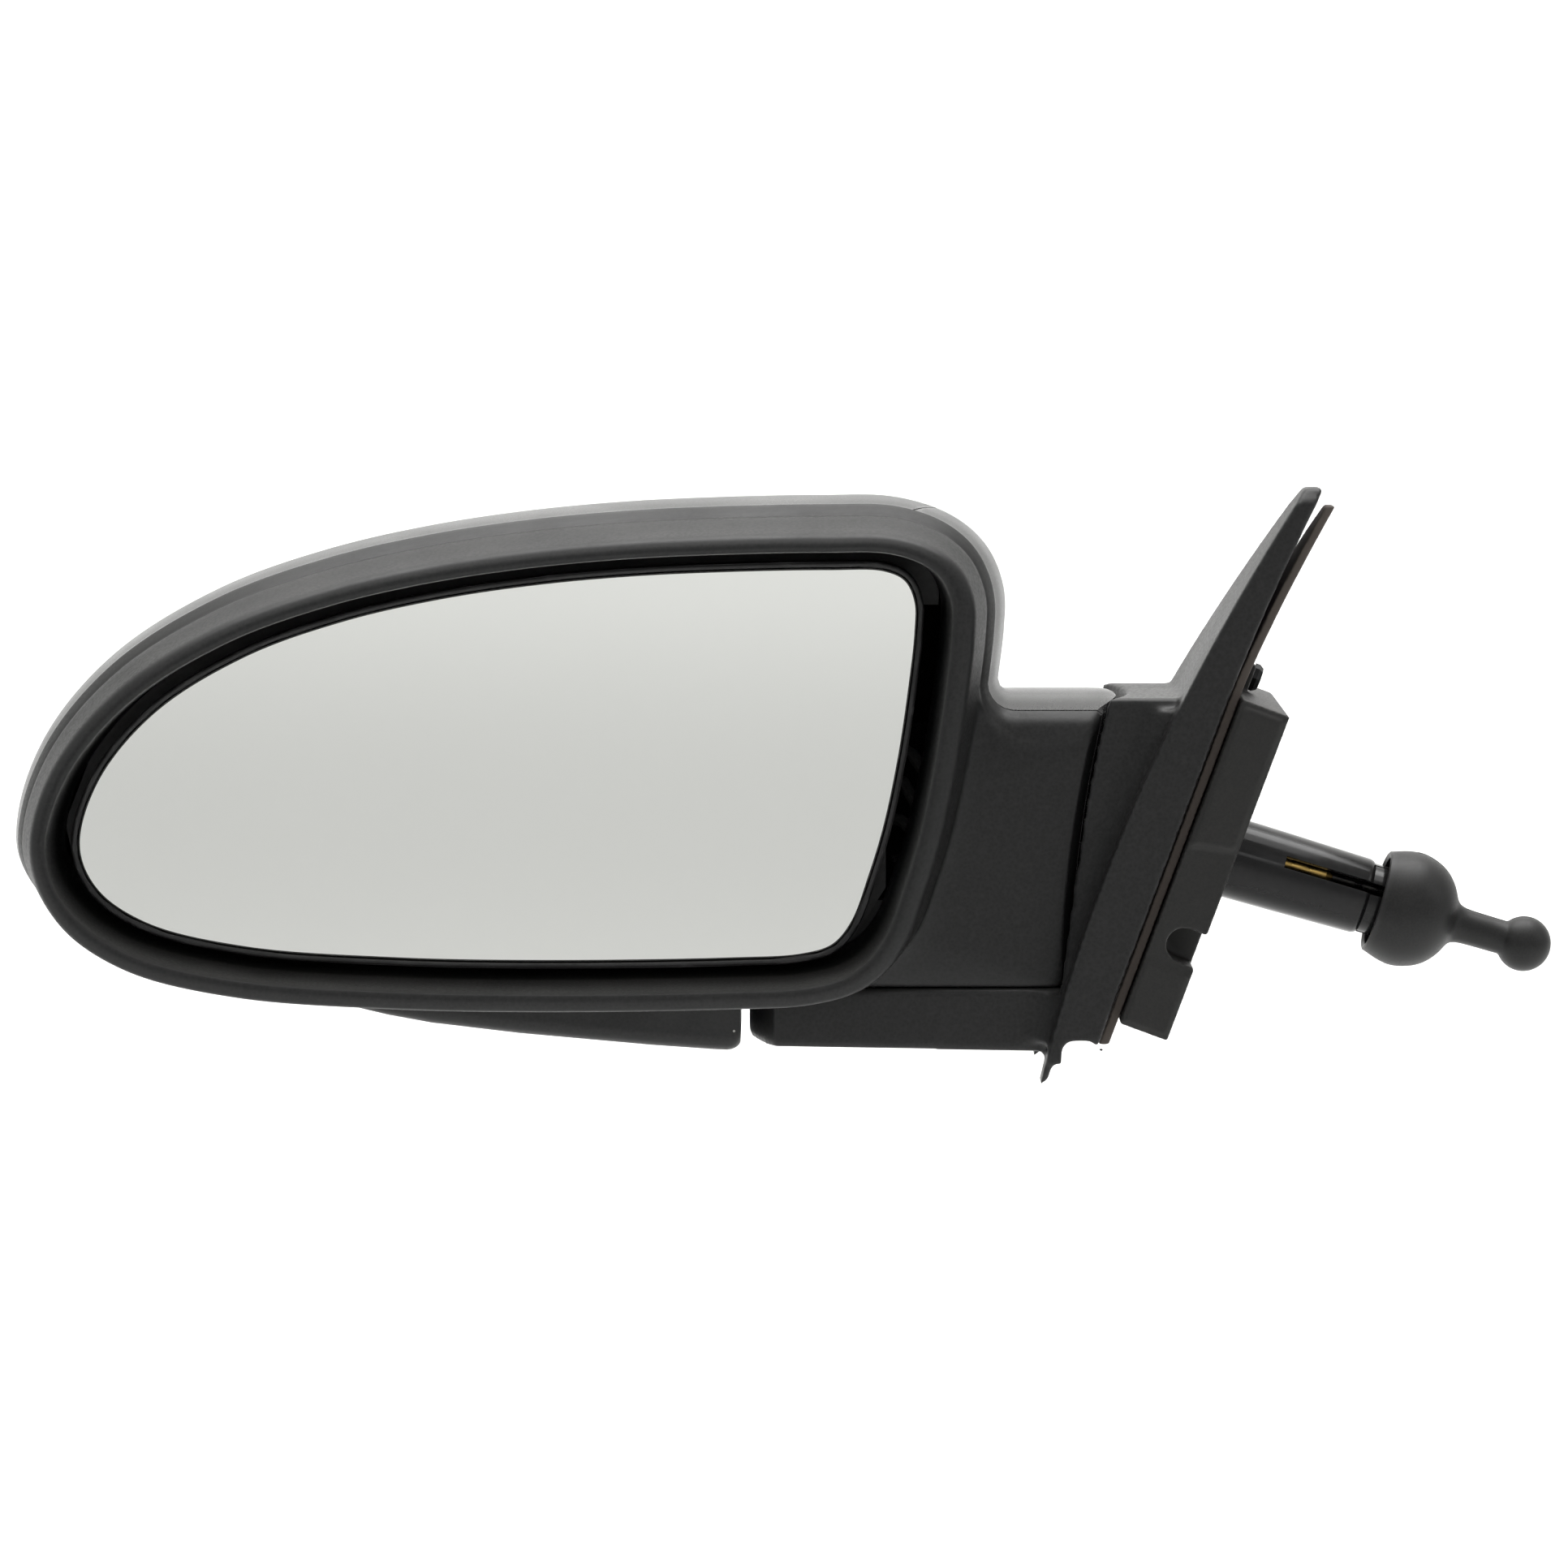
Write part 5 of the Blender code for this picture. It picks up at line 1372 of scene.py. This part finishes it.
    def gasket_mesh(self) -> Draft:
        """Foam seal with its window."""
        half = self.gasket / 2 / math.cos(self.tilt)
        outline = [(-27.0, -38.0), (50.0, -38.0), (56.0, -32.0), (56.0, -10.0), (51.0, -1.0),
                   (-14.0, 78.0), (-21.0, 84.0), (-27.0, 84.0)]
        plate = self.curved_plate(outline, lambda z: self.gasket_middle(z) - half,
                                  lambda z: self.gasket_middle(z) + half)
        window = self.on_door([(-20.0, -42.3), (15.6, -42.3), (15.6, 32.0), (-20.0, 32.0)],
                              -30.0, 10.0)
        holes = [self.on_door(arc((y, up), 3.9, 0.0, 350.0, 35), -30.0, 0.0)
                 for y, up in self.screws]
        return plate.cut(window, *holes)

    def block_mesh(self) -> Draft:
        """Mounting block with the details of its rear face."""
        rear = self.block_span[0]
        thick, half = self.block_thick, self.block_half
        pad = self.on_side([(-thick + 0.9, 4.5), (-1.0, 6.5), (-1.0, half - 1.4),
                            (-thick + 0.9, half - 1.4)], rear - 0.9, rear + 1.0)
        foot = self.on_side([(-thick + 0.9, -half + 1.2), (-1.0, -half + 1.2), (-1.0, -23.8),
                             (-thick + 0.9, -23.8)], rear - 0.5, rear + 1.0)
        return Draft.from_node("base_bracket").add(pad, foot)

    def build(self) -> None:
        """Make the skin, the gasket and the block."""
        skin = self.skin_mesh().remeshed(self.skin_cell, 5)
        skin.finished("base_cover", "base", GRAINED, "textured_plastic", ("base_skin",),
                      sharp=60.0)
        foam = self.gasket_mesh().remeshed(self.foam_cell, 3)
        foam.finished("foam_seal", "base", GASKET_FOAM, "gasket_foam", ("base_gasket",),
                      sharp=70.0)
        block = self.block_mesh().remeshed(self.block_cell, 3)
        block.finished("mounting_block", "base", BLOCK, "frame_plastic", ("base_bracket",),
                       sharp=60.0)


# ------------------------------------------------------------------ the lever

@dataclass
class Lever:
    """Gloss tube with its slot, the hand lever and the cable ends inside."""

    centre: Vector = field(default_factory=lambda: Vector((41.2, -14.0, -8.6)))
    tilt: float = math.radians(16.5)
    bore: float = 7.4
    stem: float = 28.2
    cable_angles: tuple[float, ...] = (35.0, 145.0, 215.0)

    def __post_init__(self) -> None:
        """Work out the lever's axes."""
        self.axis = Vector((math.cos(self.tilt), 0.0, -math.sin(self.tilt)))
        self.rise = Vector((math.sin(self.tilt), 0.0, math.cos(self.tilt)))

    def point(self, along: float, out: float = 0.0, angle: float = 0.0) -> Vector:
        """Point at a distance along the axis and out from it, at an angle up from the rear."""
        turn = math.radians(angle)
        return (self.centre + self.axis * along
                + (REARWARD * math.cos(turn) + self.rise * math.sin(turn)) * out)

    def block(self, along: tuple[float, float], y: tuple[float, float],
              up: tuple[float, float]) -> Draft:
        """Block lined up with the lever."""
        outline = [(along[0], y[0]), (along[1], y[0]), (along[1], y[1]), (along[0], y[1])]
        return Draft.extruded(outline, lambda a, b, c: self.centre + self.axis * a
                              + FORWARD * b + self.rise * c, *up)

    def rod(self, axis: Vector, radius: float, low: float, high: float,
            centre: Vector | None = None) -> Draft:
        """Round rod."""
        return Draft.turned([(0.0, low), (radius, low), (radius, high), (0.0, high)],
                            centre or self.centre, axis, 40)

    def tube_mesh(self) -> Draft:
        """Tube with rounded ends, two ears and the slot that shows a cable end."""
        profile = [(self.bore, -53.0), (9.0, -53.0), (9.3, -52.7), (9.2, -38.0),
                   (9.05, -28.0), (8.72, -10.8), (8.5, -10.0), (8.0, -9.4), (8.0, -5.3),
                   (7.8, -5.0), (self.bore, -5.0)]
        tube = Draft.turned(profile, self.centre, self.axis, 128)
        ears = [self.block((-12.0, 1.9), (-2.0, 2.0), span)
                for span in ((4.6, 7.9), (-7.9, -4.6))]
        turn = math.radians(22.0)
        wide = FORWARD * math.sin(turn) + self.rise * math.cos(turn)
        slot = []
        for along in (-30.0, 2.0):
            inner, outer = self.point(along, 4.0, 22.0), self.point(along, 12.0, 22.0)
            slot.append([inner - wide * 1.4, outer - wide * 1.4, outer + wide * 1.4,
                         inner + wide * 1.4])
        return tube.add(*ears).cut(Draft.loft(slot), self.rod(self.rise, 1.3, -14.0, 14.0))

    def handle_profile(self) -> Outline:
        """Outside of the dome, stem and ball."""
        keys = [(11.65, -6.7), (13.2, -2.0), (13.2, 1.8), (11.6, 6.3), (8.5, 9.5), (4.6, 11.4),
                (3.85, 13.6), (3.75, self.stem - 5.4)]
        dome = soften(keys, [0, 0.45, 0.45, 0.5, 0.5, 0.4, 0.35, 0], 5, 2)
        ball = arc((0.0, self.stem), 6.2, -50.0, 84.0, 26)
        return dome[:-1] + [(3.75, self.stem - 5.2)] + ball

    def handle_mesh(self) -> Draft:
        """Hand lever with its hollow, ears and a thin mould seam."""
        outside = self.handle_profile()
        hollow = [(12.1 * math.sin(math.radians(a)), -12.1 * math.cos(math.radians(a)))
                  for a in (102.4, 97.0, 91.0, 85.0, 79.0, 73.0, 67.0, 62.0, 58.0)]
        rim = [(10.5, -6.75), (11.2, -6.95)]
        profile = outside + [(0.0, self.stem + 6.2), (0.0, 2.6)] + hollow + rim
        handle = Draft.turned(profile, self.centre, self.axis, 128)
        seam_line = [(r + 0.10, a) for r, a in outside[6:]]
        mirrored = seam_line + [(-r, a) for r, a in reversed(seam_line)]
        seam = Draft.extruded(mirrored, lambda a, b, c: self.centre + self.axis * b
                              + self.rise * a + FORWARD * c, -0.12, 0.12)
        seam = seam.cut(self.rod(self.axis, 11.5, -8.0, 3.4))
        ears = [self.block((-1.9, 3.2), (sign * 7.9 - 3.1, sign * 7.9 + 3.1), (-2.0, 2.0))
                for sign in (-1.0, 1.0)]
        handle = handle.add(seam, *ears)
        handle = handle.cut(self.rod(FORWARD, 1.3, -9.6, -4.0), self.rod(FORWARD, 1.3, 4.0, 9.6))
        holes = [self.rod(self.axis, 1.7, 0.0, 6.4, self.point(0.0, 4.4, angle))
                 for angle in self.cable_angles]
        pockets = [self.block((1.9, 4.4), (-2.9, 2.9), span)
                   for span in ((3.3, 9.2), (-9.2, -3.3))]
        return handle.cut(*holes, *pockets)

    def ferrule_mesh(self, angle: float) -> Draft:
        """Crimped cable end: a stepped barrel with two crimp marks and a cone.

        Args:
            angle: Angle of the cable round the axis.

        Returns:
            A closed draft.
        """
        profile = [(0.0, -36.4), (1.5, -36.4), (1.65, -36.2), (1.65, -28.6), (1.5, -28.3),
                   (1.5, -27.7), (1.65, -27.4), (1.65, -24.4), (1.5, -24.1), (1.5, -23.5),
                   (1.65, -23.2), (1.65, -20.0), (0.62, -18.6), (0.5, -18.4), (0.0, -18.4)]
        return Draft.turned(profile, self.point(0.0, 4.4, angle), self.axis, 48)

    def build(self) -> None:
        """Make the tube, the handle and the cable ends."""
        self.tube_mesh().finished("gloss_tube", "base", TUBE_GLOSS, "tube_plastic",
                                  ("lever_tube",), sharp=30.0)
        self.handle_mesh().finished("hand_lever", "lever", LEVER_MATT, "lever_plastic",
                                    ("lever_handle",), sharp=40.0)
        for name, angle in zip(("first", "second", "third"), self.cable_angles):
            self.ferrule_mesh(angle).finished("crimped_end_" + name, "base", BRASS, "brass",
                                              ("lever_ferrule_" + name,), sharp=30.0)


# ------------------------------------------------------------------ the setting

SLOT_FINISHES: dict[str, Finish] = {
    "textured_plastic": GRAINED, "cap_plastic": SATIN, "frame_plastic": FRAME_PLASTIC,
    "mirror_glass": SILVER, "adhesive_foam": PAD_FOAM, "gasket_foam": GASKET_FOAM,
    "natural_nylon": NYLON, "steel": STEEL, "brass": BRASS, "tube_plastic": TUBE_GLOSS,
    "lever_plastic": LEVER_MATT, "cable_sheath": SHEATH}


def dress_carried_nodes() -> None:
    """Give every frame node that stays visible the finish of its slot."""
    for part in frame["record"]["subparts"]:
        finish = SLOT_FINISHES.get(part.get("material_slot", ""))
        carrier = frame["nodes"].get(part.get("node", ""))
        if finish is None or carrier is None:
            continue
        if part["node"].startswith("skin_screw"):
            finish = BLACKED
        for holder in carrier.material_slots:
            holder.material = finish.material()


@dataclass
class Studio:
    """Pale floor swept up behind, soft lights and the camera."""

    target: Vector = field(default_factory=lambda: Vector((-0.1001, -0.036, 0.02225)))
    distance: float = 1.6
    elevation: float = 6.0
    lens: float = 163.98
    floor: float = -0.30

    def backdrop(self) -> bpy.types.Object:
        """Floor and background in one sheet."""
        track = [(-7.0, 0.0), (-3.0, 0.0), (0.6, 0.0)]
        track += [(0.6 + 0.9 * math.sin(math.radians(a)), 0.9 - 0.9 * math.cos(math.radians(a)))
                  for a in range(6, 91, 6)]
        track += [(1.5, 4.0)]
        mesh = bpy.data.meshes.new("backdrop")
        shape = bmesh.new()
        rows = [[shape.verts.new((x, y, z + self.floor)) for x in (-5.0, 5.0)]
                for y, z in track]
        for low, high in zip(rows, rows[1:]):
            shape.faces.new((low[0], low[1], high[1], high[0]))
        shape.to_mesh(mesh)
        shape.free()
        mesh.shade_smooth()
        paper = bpy.data.materials.new("pale_paper")
        paper.use_nodes = True
        shader = paper.node_tree.nodes["Principled BSDF"]
        shader.inputs["Base Color"].default_value = (0.86, 0.86, 0.85, 1.0)
        shader.inputs["Roughness"].default_value = 0.9
        mesh.materials.append(paper)
        sheet = bpy.data.objects.new("backdrop", mesh)
        bpy.context.scene.collection.objects.link(sheet)
        return sheet

    def lamp(self, name: str, place: tuple[float, float, float], size: tuple[float, float],
             power: float) -> bpy.types.Object:
        """Soft lamp aimed at the target.

        Args:
            name: Its name.
            place: Where it stands, in metres.
            size: Width and height, in metres.
            power: Power in watts.

        Returns:
            The lamp.
        """
        light = bpy.data.lights.new(name, "AREA")
        light.shape, light.size, light.size_y = "RECTANGLE", *size
        light.energy = power
        lamp = bpy.data.objects.new(name, light)
        lamp.location = place
        lamp.rotation_euler = (self.target - Vector(place)).to_track_quat("-Z", "Y").to_euler()
        bpy.context.scene.collection.objects.link(lamp)
        return lamp

    def build(self) -> None:
        """Make the backdrop, lamps, world and camera."""
        made = [self.backdrop(),
                self.lamp("top", (-0.1, 0.15, 1.5), (1.8, 1.6), 24.0),
                self.lamp("left", (-1.9, -0.3, 0.8), (0.9, 1.4), 3.0),
                self.lamp("right", (1.8, -0.5, 0.9), (0.8, 1.4), 4.0)]
        wash = self.lamp("backdrop_wash", (0.0, 0.5, 1.9), (2.4, 1.0), 34.0)
        wash.rotation_euler = Vector((0.0, 0.55, -1.0)).to_track_quat("-Z", "Y").to_euler()
        far = self.lamp("front_floor_wash", (0.0, -5.2, 2.0), (3.0, 2.0), 32.0)
        far.rotation_euler = (0.0, 0.0, 0.0)
        made += [wash, far]
        camera = bpy.data.cameras.new("camera")
        camera.sensor_width, camera.lens = 36.0, self.lens
        camera.dof.use_dof = False
        camera.clip_start = 0.05
        eye = bpy.data.objects.new("camera", camera)
        turn = math.radians(self.elevation)
        away = Vector((0.0, -math.cos(turn), math.sin(turn)))
        eye.location = self.target + away * self.distance
        eye.rotation_euler = (-away).to_track_quat("-Z", "Y").to_euler()
        scene = bpy.context.scene
        scene.collection.objects.link(eye)
        scene.camera = eye
        scene.view_settings.view_transform = "Standard"
        world = scene.world or bpy.data.worlds.new("studio")
        scene.world = world
        world.use_nodes = True
        sky = world.node_tree.nodes.get("Background")
        sky.inputs["Color"].default_value = (1.0, 1.0, 0.99, 1.0)
        sky.inputs["Strength"].default_value = 0.50


def main() -> None:
    """Build every sub-assembly, dress it and set the scene."""
    logging.basicConfig(level=logging.INFO, format="%(name)s: %(message)s")
    shape = HeadShape()
    for assembly in (RearHousing(shape), FrontCovers(shape), LowerBulge(), Glass(shape),
                     Base(shape), Lever()):
        LOG.info("building %s", type(assembly).__name__)
        assembly.build()
    dress_carried_nodes()
    Studio().build()
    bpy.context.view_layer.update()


if __name__ == "__main__":
    main()
